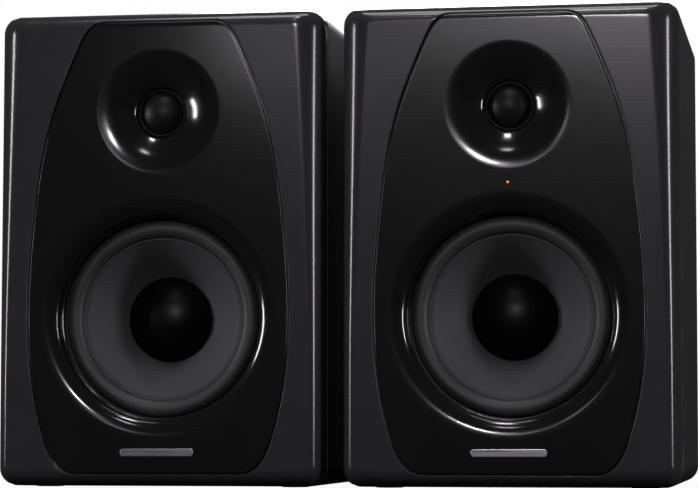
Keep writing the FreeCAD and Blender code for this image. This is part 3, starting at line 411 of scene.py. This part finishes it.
# ---- front moulding -----------------------------------------------------------------------------
ROLL_DEPTH, ROLL_TOP = 15.0, 9.4  # of the rolled edge: how far back it goes, and its width along top and bottom
ROLL_SIDE, ROLL_EXTRA, ROLL_START_Z, ROLL_POWER = 8.0, 9.0, 60.0, 1.6  # how its width grows up the sides
CORNER_R, CREASE_R = 9.9, 1.5  # corners seen from the front: at the seam, and where the flat face begins
HALVINGS = 44
GROOVE, GROOVE_DEPTH, LIP = 0.5, 3.0, 0.4
LIP_TURNS = np.radians((22.5, 45, 67.5, 90))
PANEL_FLANK = [(64.6, 25.2), (73.0, 62.0), (75.1, 95.0), (71.7, 153.0), (61.9, 208.0), (46.6, 247.6)]
FLANK_START, FLANK_END = (0.33, 1.0), (-0.44, 1.0)
PANEL_FOOT, PANEL_SHOULDER = (46.5, 8.0), (31.0, 263.0)
FOOT_SIZE, SHOULDER_SIZE = 18.0, 16.0


def side_roll(z):
    """Width of the rolled edge along the sides at height z."""
    share = np.clip((z - ROLL_START_Z) / (TOP - ROLL_TOP - ROLL_START_Z), 0, None)
    return ROLL_SIDE + ROLL_EXTRA * share**ROLL_POWER


def front_depth(x, z):
    """Depth of the moulding's outer face behind its flat front, at plan positions x and z."""
    x, z = np.abs(np.asarray(x, float)), np.asarray(z, float)

    def outside(left):
        """Distance outside the contour that lies that share of the way in from the outline to the flat face."""
        r = CREASE_R + (CORNER_R - CREASE_R) * (1 - left)
        qx = x - (HALF_W - side_roll(z) * left - r)
        qz = np.abs(z - MIDDLE_Z) - ((TOP - BOTTOM) / 2 - ROLL_TOP * left - r)
        return np.hypot(np.maximum(qx, 0), np.maximum(qz, 0)) + np.minimum(np.maximum(qx, qz), 0) - r

    a, b = np.zeros(x.shape), np.ones(x.shape)
    for _ in range(HALVINGS):
        mid = (a + b) / 2
        beyond = outside(mid) > 0
        a, b = np.where(beyond, a, mid), np.where(beyond, mid, b)
    left = np.where(outside(np.ones(x.shape)) <= 0, 1.0, (a + b) / 2)
    return ROLL_DEPTH * (1 - np.sqrt(np.clip(1 - (1 - left) ** 2, 0, 1)))


def silhouette(arc_count=20, side_count=90, end_count=60):
    """The cabinet's outline as a closed counter-clockwise loop from the middle of the bottom."""
    hw, r, z0, z1 = HALF_W, CORNER_R, BOTTOM, TOP
    parts = [np.stack([np.linspace(0, hw - r, end_count), np.full(end_count, z0)], 1)[:-1]]
    a = np.radians(np.linspace(-90, 0, arc_count))
    parts.append(np.stack([hw - r + r * np.cos(a), z0 + r + r * np.sin(a)], 1)[:-1])
    parts.append(np.stack([np.full(side_count, hw), np.linspace(z0 + r, z1 - r, side_count)], 1)[:-1])
    a = a + math.pi / 2
    parts.append(np.stack([hw - r + r * np.cos(a), z1 - r + r * np.sin(a)], 1)[:-1])
    parts.append(np.stack([np.linspace(hw - r, 0, end_count), np.full(end_count, z1)], 1))
    return mirrored(np.concatenate(parts))


def mirrored(half):
    """A whole loop from its right half."""
    return np.concatenate([half, half[1:-1][::-1] * (-1, 1)])


def panel_half(flank_count=110, corner_count=26, end_count=14):
    """The right half of the centre panel's outline, from the middle of the bottom to the middle of the top."""
    foot, shoulder = PANEL_FOOT, PANEL_SHOULDER
    flank = spline(PANEL_FLANK, flank_count, FLANK_START, FLANK_END)
    lower = bend(foot, (1, 0), flank[0], FLANK_START, FOOT_SIZE, corner_count)
    upper = bend(flank[-1], FLANK_END, shoulder, (-1, 0), SHOULDER_SIZE, corner_count)
    bottom = np.stack([np.linspace(0, foot[0], end_count), np.full(end_count, foot[1])], 1)
    top = np.stack([np.linspace(shoulder[0], 0, end_count), np.full(end_count, shoulder[1])], 1)
    return np.concatenate([bottom[:-1], lower[:-1], flank[:-1], upper[:-1], top])


def panel_loop(grow):
    """The centre panel's outline, larger by grow on every side."""
    loop = mirrored(panel_half())
    return loop + outward(loop) * grow


def make_bezel(side):
    """Rolled moulding between the cabinet's outline and the centre panel's groove."""
    samples, rows = 500, 54
    samples_bias, rows_bias = 2.4, 1.15  # both are closer together near the outline, where the face is steep
    ledge = 4.0  # how far it reaches in behind the panel
    shape = Shape(side)
    window = panel_loop(GROOVE + LIP)
    count = len(window)
    outline = silhouette()
    # the outline is taken at the same share of its length as the window, corner by corner
    outer = matched(outline, landmarks(outline), landmarks(window), count)
    fine = np.linspace(0, 1, samples) ** samples_bias
    xs = outer[:, None, 0] + (window[:, None, 0] - outer[:, None, 0]) * fine
    zs = outer[:, None, 1] + (window[:, None, 1] - outer[:, None, 1]) * fine
    ys = front_depth(xs, zs)
    grid = np.zeros((count, rows, 3))
    for i in range(count):
        line = np.stack([xs[i], ys[i], zs[i]], 1)
        run = np.concatenate([[0], np.cumsum(np.linalg.norm(np.diff(line, axis=0), axis=1))])
        steps = run[-1] * np.linspace(0, 1, rows) ** rows_bias
        grid[i] = np.stack([np.interp(steps, run, line[:, k]) for k in range(3)], 1)
    loops = []
    seam, chamfer = SEAM - 0.05, 0.35
    for grow, y in ((-3.0, seam), (-chamfer, seam), (-0.1, seam - 0.1), (0, seam - chamfer), (0, ROLL_DEPTH + 2.0)):
        loops.append(shape.loop(outer + outward(outer) * grow, y))
    for k in range(rows):
        loops.append(shape.loop(grid[:, k, ::2], grid[:, k, 1]))
    base = front_depth(window[:, 0], window[:, 1])
    for turn in LIP_TURNS:
        ring = panel_loop(GROOVE + LIP * (1 - math.sin(turn)))
        loops.append(shape.loop(ring, base + LIP * (1 - math.cos(turn))))
    for grow, y in ((GROOVE, GROOVE_DEPTH), (-ledge, GROOVE_DEPTH), (-ledge, 6.0), (3.0, 6.2)):
        loops.append(shape.loop(panel_loop(grow), y))
    for a, b in zip(loops, loops[1:] + loops[:1]):
        shape.bridge(a, b)
    piece = shape.done(f"{side}_front_moulding", bezel_finish.material, f"{side}_speaker", 50)
    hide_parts(f"{side}_front_bezel")
    return piece


def landmarks(loop):
    """Indices of a closed loop's lower right, upper right, upper left and lower left corners."""
    tall = 1.6  # height counts for more than width, so that the points found lie in the corners
    return [int(np.argmax(sx * loop[:, 0] + sz * (loop[:, 1] - MIDDLE_Z) * tall))
            for sx, sz in ((1, -1), (1, 1), (-1, 1), (-1, -1))]


def matched(loop, marks, other_marks, count):
    """loop resampled to count points, with its corners at the same indices as the other loop's."""
    out = np.zeros((count, 2))
    n = len(loop)
    for k in range(4):
        a, b = marks[k], marks[(k + 1) % 4]
        i, j = other_marks[k], other_marks[(k + 1) % 4]
        b, j = (b if b > a else b + n), (j if j > i else j + count)
        piece = loop[np.arange(a, b + 1) % n]
        spread = evenly(piece, j - i + 1)
        out[np.arange(i, j + 1) % count] = spread
    return out


# fronts as (radius, slope in degrees), backs as (radius, y)
WAVEGUIDE = [(36.0, 0), (34.6, 3.5), (33.4, 5.5), (31.5, 8.5), (29, 13), (25, 21), (20, 28), (17, 31.5),
             (15.6, 35), (14.9, 44), (14.5, 62)]
WAVEGUIDE_BACK = [(14.2, 8.9), (14.2, 12.35), (27.0, 12.35), (28.6, 4.8), (33.5, 3.8)]
RECESS = [(69.0, 0), (67.4, 2.5), (66.0, 5.5), (65.0, 8.5), (63.5, 16), (61.5, 25), (59.8, 33), (58.9, 42),
          (58.4, 58)]
RECESS_BACK = [(58.1, 4.3), (58.0, 9.7), (57.3, 10.5), (56.8, 10.5), (56.8, 12.5), (62.5, 12.5), (62.5, 10.9),
               (60.3, 9.4), (60.6, 5.6), (65.5, 3.8)]


def flare(angles, steps=8):
    """Profile of a horn from its slopes in degrees at some radii, from the widest to the narrowest."""
    points, depth = [(angles[0][0], 0.0)], 0.0
    for (r0, a0), (r1, a1) in zip(angles, angles[1:]):
        for k in range(steps):
            depth += (r0 - r1) / steps * math.tan(math.radians(a0 + (a1 - a0) * (k + 0.5) / steps))
            points.append((r0 + (r1 - r0) * (k + 1) / steps, depth))
    return points


def make_panel(side):
    """Gloss centre moulding: flat face, rolled top, waveguide and woofer recess in one skin."""
    flat_top, columns = 254.0, 26  # the face above that height is rolled, and takes a grid
    margin, back_y = 1.4, 2.98
    shape = Shape(side)
    inset, edge = panel_loop(-GROOVE - margin), panel_loop(-GROOVE - LIP)
    count = len(inset)
    depth = front_depth(inset[:, 0], inset[:, 1])
    skin = shape.loop(inset, depth)
    half = count // 2
    first = next(i for i in range(half) if inset[i, 1] > flat_top)
    last = next(i for i in range(first, half) if inset[i, 1] > inset[half, 1] - 1e-3)
    rows = []
    for i in range(first, last + 1):
        a, b = inset[i], inset[count - i]
        if i == last:
            rows.append([skin[k] for k in range(last, count - last + 1)])
            continue
        inner = [a + (b - a) * t for t in np.linspace(0, 1, columns + 1)[1:-1]]
        ys = front_depth(np.array(inner)[:, 0], np.array(inner)[:, 1])
        rows.append([skin[i], *[shape.vert(p[0], y, p[1]) for p, y in zip(inner, ys)], skin[count - i]])
    for a, b in zip(rows, rows[1:]):
        shape.bridge(a, b, closed=False)
    holes = []
    for slopes, flat_r, z, back, segments in ((WAVEGUIDE, 37.0, TWEETER_Z, WAVEGUIDE_BACK, 160),
                                              (RECESS, 70.2, WOOFER_Z, RECESS_BACK, 224)):
        curve = flare(slopes)
        rear = rounded([curve[-1], *back, (flat_r, 3.0)], 0.15, closed=False)
        rings = shape.lathe([(flat_r, 0.0), *curve, *rear[1:]], 0, z, segments, closed=False)
        holes.append((rings[0], rings[-1]))
    lower = [skin[k % count] for k in range(count - first, count + first + 1)]
    shape.fill(lower + rows[0][1:-1], holes[0][0], holes[1][0])
    ys = front_depth(edge[:, 0], edge[:, 1])
    loops = [skin, shape.loop(edge, ys)]
    for turn in LIP_TURNS:
        ring = panel_loop(-GROOVE - LIP * (1 - math.sin(turn)))
        loops.append(shape.loop(ring, ys + LIP * (1 - math.cos(turn))))
    loops.append(shape.loop(panel_loop(-GROOVE), back_y))
    for a, b in zip(loops, loops[1:]):
        shape.bridge(a, b)
    shape.fill(loops[-1], holes[0][1], holes[1][1])
    piece = shape.done(f"{side}_centre_moulding", panel_finish.material, f"{side}_speaker", 35)
    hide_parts(f"{side}_center_panel")
    return piece


# ---- cabinet ------------------------------------------------------------------------------------
WALL, BACK_EDGE_R, PORT_HOLE_R = 12.0, 1.5, 23.05
BACK_CUT = {"right": ("right_amp_plate", 67.0, 77.0), "left": ("left_terminal_cup", 21.0, 12.0)}


def rectangle(x0, x1, z0, z1, step=8.0):
    """A rectangle as a closed loop, with a point about every step."""
    nx, nz = max(2, int((x1 - x0) / step)), max(2, int((z1 - z0) / step))
    xs, zs = np.linspace(x0, x1, nx), np.linspace(z0, z1, nz)
    return np.concatenate([
        np.stack([xs, np.full(nx, z0)], 1)[:-1], np.stack([np.full(nz, x1), zs], 1)[:-1],
        np.stack([xs[::-1], np.full(nx, z1)], 1)[:-1], np.stack([np.full(nz, x0), zs[::-1]], 1)[:-1]])


def make_cabinet(side):
    """Wrapped box with walls, softened edges and the holes that the CAD model has in its back."""
    r = BACK_EDGE_R
    shape = Shape(side)
    outline = silhouette()
    n = outward(outline)
    rings = []
    for grow, y in ((-0.35, SEAM), (-0.1, SEAM + 0.1), (0, SEAM + 0.35), (0, SEAM + 1.5), (0, REAR - 3.0)):
        rings.append(shape.loop(outline + n * grow, y))
    for turn in np.radians(np.linspace(0, 90, 7)):
        rings.append(shape.loop(outline - n * r * (1 - math.cos(turn)), REAR - r + r * math.sin(turn)))
    rings.append(shape.loop(outline - n * 2.3, REAR))
    for a, b in zip(rings, rings[1:]):
        shape.bridge(a, b)
    inner = rectangle(-HALF_W + WALL, HALF_W - WALL, BOTTOM + WALL, TOP - WALL)
    mouth, back = shape.loop(inner, SEAM), shape.loop(inner, REAR - WALL)
    shape.bridge(mouth, back)
    shape.fill(rings[0], mouth)
    plate, half_w, half_h = BACK_CUT[side]
    z = middle(plate, 2)
    cut = rectangle(-half_w, half_w, z - half_h, z + half_h)
    outside = [shape.loop(cut, REAR), shape.circle(PORT_HOLE_R, REAR, 0, PORT_Z, 96)]
    inside = [shape.loop(cut, REAR - WALL), shape.circle(PORT_HOLE_R, REAR - WALL, 0, PORT_Z, 96)]
    shape.fill(rings[-1], *outside)
    shape.fill(back, *inside)
    for a, b in zip(outside, inside):
        shape.bridge(a, b)
    piece = shape.done(f"{side}_cabinet_box", wrap_finish.material, f"{side}_speaker", 35)
    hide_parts(f"{side}_cabinet")
    return piece


# ---- drivers ------------------------------------------------------------------------------------
LAND, LAND_T = 15.0, 0.8  # where the surround lies on the basket, and its thickness
ROLL_MID_R, ROLL_R = 51.0, 4.6
CAP_R, CAP_Y, CAP_RISE = 24.0, 34.0, 9.6
SPIDER_IN, SPIDER_OUT, SPIDER_Y, SPIDER_WAVE = 13.2, 33.0, 45.6, 0.9
DOME_R, DOME_Y, DOME_RISE = 12.3, 10.9, 5.4


def dome(r, y, rise, thick, count):
    """Outer and inner arcs of a shell with its rim at radius r and depth y."""
    ball = (r * r + rise * rise) / (2 * rise)
    centre = y - rise + ball
    angle = math.degrees(math.asin(r / ball))
    return arc(0, centre, ball, -90 + angle, -90, count), arc(0, centre, ball - thick, -90, -90 + angle, count)


def make_surround(side):
    """Rubber half roll that stretches between the speaker and the cone."""
    shape = Shape(side)
    mid_r, mid_y, r, t = ROLL_MID_R, LAND + LAND_T / 2, ROLL_R, LAND_T
    outer = arc(mid_r, mid_y, r + t / 2, 0, -180, 40)
    inner = arc(mid_r, mid_y, r - t / 2, -180, 0, 40)
    front = [(58.8, LAND), *rounded([(57.5, LAND), (56.2, LAND), outer[2]], 0.5, 5, False), *outer[3:-3],
             *rounded([outer[-3], (45.8, LAND), (45.0, LAND)], 0.5, 5, False), (44.6, LAND + 0.1),
             (44.4, LAND + 0.4)]
    profile = [(58.8, LAND + LAND_T), *front, (44.4, LAND + LAND_T), (mid_r - r + t / 2, LAND + LAND_T),
               *inner[1:-1], (mid_r + r - t / 2, LAND + LAND_T)]
    shape.lathe(profile, 0, WOOFER_Z, 192)
    piece = shape.done(f"{side}_surround_roll", rubber_finish.material)
    stretch(piece, side, 56.4, 46.0)
    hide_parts(f"{side}_woofer_surround")
    return piece


def make_spider(side):
    """Corrugated cloth disc that centres the cone, with four waves that fade at both ends."""
    shape = Shape(side)
    share = np.linspace(0, 1, 97)
    r = SPIDER_IN + (SPIDER_OUT - SPIDER_IN) * share
    fade = np.minimum(1, np.minimum(6 * share, 6 * (1 - share)))
    y = SPIDER_Y - SPIDER_WAVE * fade * np.sin(8 * math.pi * share)
    front = [*zip(r, y - 0.3), (36.4, 45.3)]
    back = [(a, b + 0.28) for a, b in zip(r[::-1], y[::-1])]
    shape.lathe([*front, (36.4, 45.88), *back], 0, WOOFER_Z, 128)
    piece = shape.done(f"{side}_spider_disc", spider_finish.material)
    stretch(piece, side, SPIDER_OUT, 14.0)
    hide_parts(f"{side}_woofer_spider")
    return piece


def stretch(piece, side, fixed_r, moving_r):
    """Bakes the ring's placement into its mesh."""
    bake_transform(piece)


def make_cone(side):
    """Dished pulp cone, slightly curved, with a fine step where the surround is glued on."""
    shape = Shape(side)
    t, rim = 0.9, LAND + LAND_T + 0.02
    front = spline([(44.0, rim + 0.25), (38.0, 21.3), (31.0, 27.8), (CAP_R, CAP_Y), (13.1, 42.4)], 60)
    back = [(r + 0.75, y + 0.75) for r, y in front[::-1]]
    profile = [(46.2, rim), (44.6, rim), *map(tuple, front), (13.15, 43.6), (13.9, 43.6), *back[1:],
               (46.2, rim + t)]
    shape.lathe(profile, 0, WOOFER_Z, 192)
    piece = shape.done(f"{side}_cone_pulp", cone_finish[side], f"{side}_woofer_cone_assembly", 50)
    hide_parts(f"{side}_woofer_cone")
    return piece


def make_cap(side):
    """Gloss dust cap with a small bead of glue round its edge."""
    shape = Shape(side)
    outer, inner = dome(CAP_R, CAP_Y - 0.3, CAP_RISE, 0.6, 40)
    foot = [(CAP_R + 0.35, CAP_Y - 0.55), (CAP_R + 0.3, CAP_Y - 0.15)]
    shell = [(max(0, r), y) for r, y in outer + inner]
    shape.lathe([*foot, *shell, (CAP_R - 0.4, CAP_Y + 0.3)], 0, WOOFER_Z, 160)
    piece = shape.done(f"{side}_cap_dome", cap_finish.material, f"{side}_woofer_cone_assembly", 60)
    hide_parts(f"{side}_woofer_dust_cap")
    return piece


def make_tweeter(side):
    """Soft dome with its half roll and former."""
    shape = Shape(side)
    outer, inner = dome(DOME_R, DOME_Y, DOME_RISE, 0.5, 36)
    roll = arc(13.05, DOME_Y, 0.85, -180, 0, 16)
    under = arc(13.05, DOME_Y, 0.45, 0, -180, 16)
    profile = [(0.0, outer[-1][1]), *outer[::-1][1:], *roll[1:], *under, (12.5, 19.0), (12.0, 19.0),
               *inner[::-1][:-1], (0.0, inner[0][1])]
    shape.lathe([(max(0.0, r), y) for r, y in profile], 0, TWEETER_Z, 128, closed=False)
    piece = shape.done(f"{side}_silk_dome", silk_finish.material, f"{side}_tweeter_dome_assembly", 60)
    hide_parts(f"{side}_tweeter_dome")
    return piece


def make_port(side):
    """Reflex port with a softly flared mouth."""
    shape = Shape(side)
    mouth = spline([(21.0, REAR - 14), (21.5, REAR - 6), (23.2, REAR - 1.2), (26.6, REAR + 1.9),
                    (30.0, REAR + 2.6)], 28, (0, 1), (1, 0))
    edge = rounded([(30.0, REAR + 2.6), (33.0, REAR + 2.5), (33.0, REAR + 0.02)], 1.5, 7, False)
    profile = [(23.0, 108.0), (21.4, 108.0), (21.0, 108.6), *map(tuple, mouth), *edge[1:], (23.0, REAR + 0.02)]
    shape.lathe(profile, 0, PORT_Z, 144)
    piece = shape.done(f"{side}_port_flare", port_finish.material, f"{side}_speaker", 50)
    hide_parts(f"{side}_port_tube")
    return piece


def make_feet(side):
    """Four soft-edged rubber pads."""
    shape = Shape(side)
    low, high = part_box(f"{side}_feet")
    centre, r = CENTRE[side], 8.0
    around = np.linspace(0, 2 * math.pi, 64, endpoint=False)
    for x in (low.x / MM + r - centre, high.x / MM - r - centre):
        for y in (low.y / MM + r - FRONT, high.y / MM - r - FRONT):
            rings = []
            for grow, z in ((-1.0, 2.4), (0, 2.4), (0, 0.5), (-0.15, 0.15), (-0.5, 0.0), (-3, 0.0)):
                wide = r + grow
                rings.append([shape.vert(x + wide * math.cos(v), y + wide * math.sin(v), z) for v in around])
            for p, q in zip(rings, rings[1:]):
                shape.bridge(p, q)
            shape.fill(rings[0])
            shape.fill(rings[-1])
    piece = shape.done(f"{side}_foot_pads", foot_finish.material, f"{side}_speaker", 50)
    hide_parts(f"{side}_feet")
    return piece


def make_nameplate(side):
    """Blank satin strip, inlaid just proud of the panel, with softened edges."""
    shape = Shape(side)
    rings = []
    w, h, r = 42.0, 4.4, 1.6
    a = np.radians(np.linspace(0, 90, 8))

    def outline(grow):
        points = []
        for sx, sz, turn in ((1, -1, -90), (1, 1, 0), (-1, 1, 90), (-1, -1, 180)):
            for v in a + math.radians(turn):
                points.append((sx * (w / 2 - r) + (r + grow) * math.cos(v),
                               NAMEPLATE_Z + sz * (h / 2 - r) + (r + grow) * math.sin(v)))
        return np.array(points)

    for grow, y in ((-0.02, 0.5), (-0.02, 0.1), (-0.1, -0.02), (-0.25, -0.06), (-0.5, -0.06)):
        rings.append(shape.loop(outline(grow), y))
    for p, q in zip(rings, rings[1:]):
        shape.bridge(p, q)
    shape.fill(rings[0])
    shape.fill(rings[-1])
    piece = shape.done(f"{side}_blank_strip", strip_finish.material, f"{side}_speaker", 50)
    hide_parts(f"{side}_nameplate")
    return piece


def make_led():
    """Indicator lens, just proud of the panel, with the body of the LED behind it."""
    shape = Shape("right")
    lens = [(0.0, -0.05), (0.5, -0.03), (0.9, 0.08), (1.1, 0.25), (1.15, 0.5), (1.15, 3.0), (1.9, 3.05), (1.9, 7.5),
            (2.4, 7.5), (2.4, 8.4), (0.0, 8.4)]
    shape.lathe(lens, 0, LED_Z, 48, closed=False)
    piece = shape.done("indicator_lens", led_finish.material, "right_speaker", 60)
    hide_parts("right_power_led")
    return piece


KNOB_X, KNOB_Z = 47.0, 166.0
SCALE_START, SCALE_STEP, SCALE_MARKS = -150, 30, 11
SCALE_R, SHORT_R, LONG_R, MARK_HALF_W = 10.0, 11.6, 12.6, 0.25
PHONO_Z = 113.0
PHONO_RINGS = ((52.0, white_insert, "phono_ring_white"), (36.0, red_insert, "phono_ring_red"))


def make_rear_marks():
    """Printed scale round the volume knob, and the coloured rings of the phono sockets."""
    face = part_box("right_amp_plate")[1].y / MM - FRONT
    shape = Shape("right")
    for k in range(SCALE_MARKS):
        turn = math.radians(SCALE_START + SCALE_STEP * k)
        out, across = np.array((math.sin(turn), math.cos(turn))), np.array((math.cos(turn), -math.sin(turn)))
        centre, w = np.array((KNOB_X, KNOB_Z)), MARK_HALF_W
        end = LONG_R if k in (0, SCALE_MARKS // 2, SCALE_MARKS - 1) else SHORT_R
        corners = [centre + out * r + across * d for r, d in ((SCALE_R, -w), (end, -w), (end, w), (SCALE_R, w))]
        base, top = shape.loop(corners, face - 0.05), shape.loop(corners, face + 0.05)
        shape.bridge(base, top)
        shape.fill(base)
        shape.fill(top)
    shape.done("volume_scale", print_finish.material, "right_speaker")
    for x, finish, name in PHONO_RINGS:
        shape = Shape("right")
        profile = rounded([(4.3, face + 1.15), (6.45, face + 1.15), (6.45, face + 1.6), (4.3, face + 1.6)], 0.2)
        shape.lathe(profile, x, PHONO_Z, 64)
        shape.done(name, finish.material, "right_speaker")


for side in SIDES:
    make_bezel(side)
    make_panel(side)
    make_cabinet(side)
    make_surround(side)
    make_spider(side)
    make_cone(side)
    make_cap(side)
    make_tweeter(side)
    make_port(side)
    make_feet(side)
    make_nameplate(side)
make_led()
make_rear_marks()


# ---- the CAD pieces that stay -------------------------------------------------------------------
def finish_node(name, finish, bevel_mm):
    """Gives a CAD node its material, and fine rounded edges where it shows."""
    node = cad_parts[name]
    node.data.materials.clear()
    node.data.materials.append(finish.material)
    if bevel_mm:
        bevel = node.modifiers.new("edges", "BEVEL")
        bevel.width = bevel_mm * MM
        bevel.segments = 2
        bevel.limit_method = "ANGLE"
        bevel.angle_limit = math.radians(50)
        bevel.use_clamp_overlap = True


# node, finish, width of the rounded edges in millimetres
KEPT_ON_BOTH = (
    ("baffle_board", fibre_finish, 0),
    ("woofer_basket", basket_finish, 0),
    ("woofer_voice_coil", copper_finish, 0),
    ("woofer_magnet", ferrite_finish, 0.5),
    ("woofer_pole_plates", zinc_finish, 0.2),
    ("woofer_screws", screw_finish, 0),
    ("tweeter_housing", black_plastic, 0),
    ("tweeter_magnet", ferrite_finish, 0),
    ("red_lever", red_finish, 0),
    ("black_lever", lever_finish, 0),
)
KEPT_ON_ONE = (
    ("right_amp_plate", plate_finish, 0),
    ("right_plate_screws", screw_finish, 0),
    ("right_heatsink", sink_finish, 0.2),
    ("right_circuit_board", board_finish, 0),
    ("right_transformer", tape_finish, 0),
    ("right_volume_knob", knob_finish, 0),
    ("right_treble_slider", slider_finish, 0.2),
    ("right_line_jacks", jack_finish, 0),
    ("right_rca_jacks", nickel_finish, 0),
    ("right_usb_socket", usb_finish, 0),
    ("right_mains_inlet", black_plastic, 0),
    ("right_fuse_drawer", black_plastic, 0.2),
    ("right_power_rocker", rocker_finish, 0.3),
    ("right_terminal_block", black_plastic, 0),
    ("left_terminal_cup", black_plastic, 0),
    ("left_cup_screws", screw_finish, 0),
    ("left_crossover_board", board_finish, 0),
)
for side in SIDES:
    for name, finish, width in KEPT_ON_BOTH:
        finish_node(f"{side}_{name}", finish, width)
for name, finish, width in KEPT_ON_ONE:
    finish_node(name, finish, width)


# ---- floor, lights and camera -------------------------------------------------------------------
FLOOR_Z, FLOOR_SEEN = -0.0002, 0.97
SKY_SEEN, SKY_LIGHT = 1.0, 0.04
LIGHT_COLOUR = (1, 0.96, 1)
# name, place and target in metres, width, height, watts
LIGHTS = (
    ("key", (-0.05, -0.75, 2.05), (0.0, 0, 0.14), 0.30, 0.25, 10),
    ("upper", (-0.15, -1.75, 1.95), (0.0, 0, 0.2), 0.30, 0.12, 2.5),
    ("front_soft", (0.0, -2.80, 0.97), (0.0, 0, 0.2), 0.19, 0.14, 16),
    ("glow", (-0.14, -2.80, 0.74), (0.0, 0, 0.2), 0.5, 0.2, 0.8),
    ("left_glow", (-0.58, -2.80, 0.70), (-0.1, 0, 0.2), 0.15, 0.2, 0.5),
    ("over", (0.0, -0.1, 1.8), (0.0, 0, 0.2), 1.0, 0.5, 12),
    ("left_strip", (-1.5, -0.7, 0.30), (-0.1, 0, 0.20), 0.12, 0.55, 10),
    ("right_strip", (1.6, -0.6, 0.30), (0.1, 0, 0.20), 0.12, 0.55, 10),
    ("rear_soft", (-0.1, 2.4, 1.5), (0, 0, 0.15), 1.2, 1.0, 90),
)
CAMERA_X, CAMERA_BACK, CAMERA_UP = 269.47, 1472.17, 36.05
CAMERA_YAW, CAMERA_PITCH = 9.979, 3.773
SENSOR, LENS = 36.0, 139.22


def stage_plane():
    """A floor that shows pale to the camera, and reflects little light up into the curves."""
    mesh = bpy.data.meshes.new("floor")
    bm = bmesh.new()
    bmesh.ops.create_grid(bm, x_segments=2, y_segments=2, size=12)
    bm.to_mesh(mesh)
    bm.free()
    floor = bpy.data.objects.new("floor", mesh)
    bpy.context.scene.collection.objects.link(floor)
    floor.location = (0, 0, FLOOR_Z)
    pale = Finish("pale_floor", 0.9)
    pale.colour((0.030, 0.030, 0.030), (0.036, 0.036, 0.036), pale.noise(3, 2))
    pale.shader.inputs["Specular IOR Level"].default_value = 0.0
    glow, path = pale.node("ShaderNodeEmission"), pale.node("ShaderNodeLightPath")
    choice = pale.node("ShaderNodeMixShader")
    glow.inputs["Strength"].default_value = FLOOR_SEEN
    pale.join(path.outputs["Is Camera Ray"], choice.inputs["Fac"])
    pale.join(pale.shader.outputs[0], choice.inputs[1])
    pale.join(glow.outputs[0], choice.inputs[2])
    pale.join(choice.outputs[0], pale.tree.nodes["Material Output"].inputs["Surface"])
    mesh.materials.append(pale.material)


def area_light(name, place, target, width, height, power):
    data = bpy.data.lights.new(name, "AREA")
    data.shape, data.size, data.size_y = "RECTANGLE", width, height
    data.energy, data.color = power, LIGHT_COLOUR
    lamp = bpy.data.objects.new(name, data)
    bpy.context.scene.collection.objects.link(lamp)
    lamp.location = place
    lamp.rotation_euler = (Vector(target) - Vector(place)).to_track_quat("-Z", "Y").to_euler()


stage_plane()
for light in LIGHTS:
    area_light(*light)

# the camera sees a white background, and everything else a dim one
world = bpy.data.worlds.new("studio")
bpy.context.scene.world = world
world.use_nodes = True
tree = world.node_tree
shown, dim = tree.nodes["Background"], tree.nodes.new("ShaderNodeBackground")
for background, strength in ((shown, SKY_SEEN), (dim, SKY_LIGHT)):
    background.inputs["Color"].default_value = (1, 1, 1, 1)
    background.inputs["Strength"].default_value = strength
path, mix = tree.nodes.new("ShaderNodeLightPath"), tree.nodes.new("ShaderNodeMixShader")
tree.links.new(path.outputs["Is Camera Ray"], mix.inputs["Fac"])
tree.links.new(dim.outputs["Background"], mix.inputs[1])
tree.links.new(shown.outputs["Background"], mix.inputs[2])
tree.links.new(mix.outputs["Shader"], tree.nodes["World Output"].inputs["Surface"])
bpy.context.scene.view_settings.view_transform = "Standard"

camera_data = bpy.data.cameras.new("camera")
camera_data.sensor_width, camera_data.lens = SENSOR, LENS
camera = bpy.data.objects.new("camera", camera_data)
bpy.context.scene.collection.objects.link(camera)
camera.location = (CAMERA_X * MM, (FRONT - CAMERA_BACK) * MM, (BOTTOM + CAMERA_UP) * MM)
camera.rotation_euler = (math.pi / 2 + math.radians(CAMERA_PITCH), 0, math.radians(CAMERA_YAW))
bpy.context.scene.camera = camera
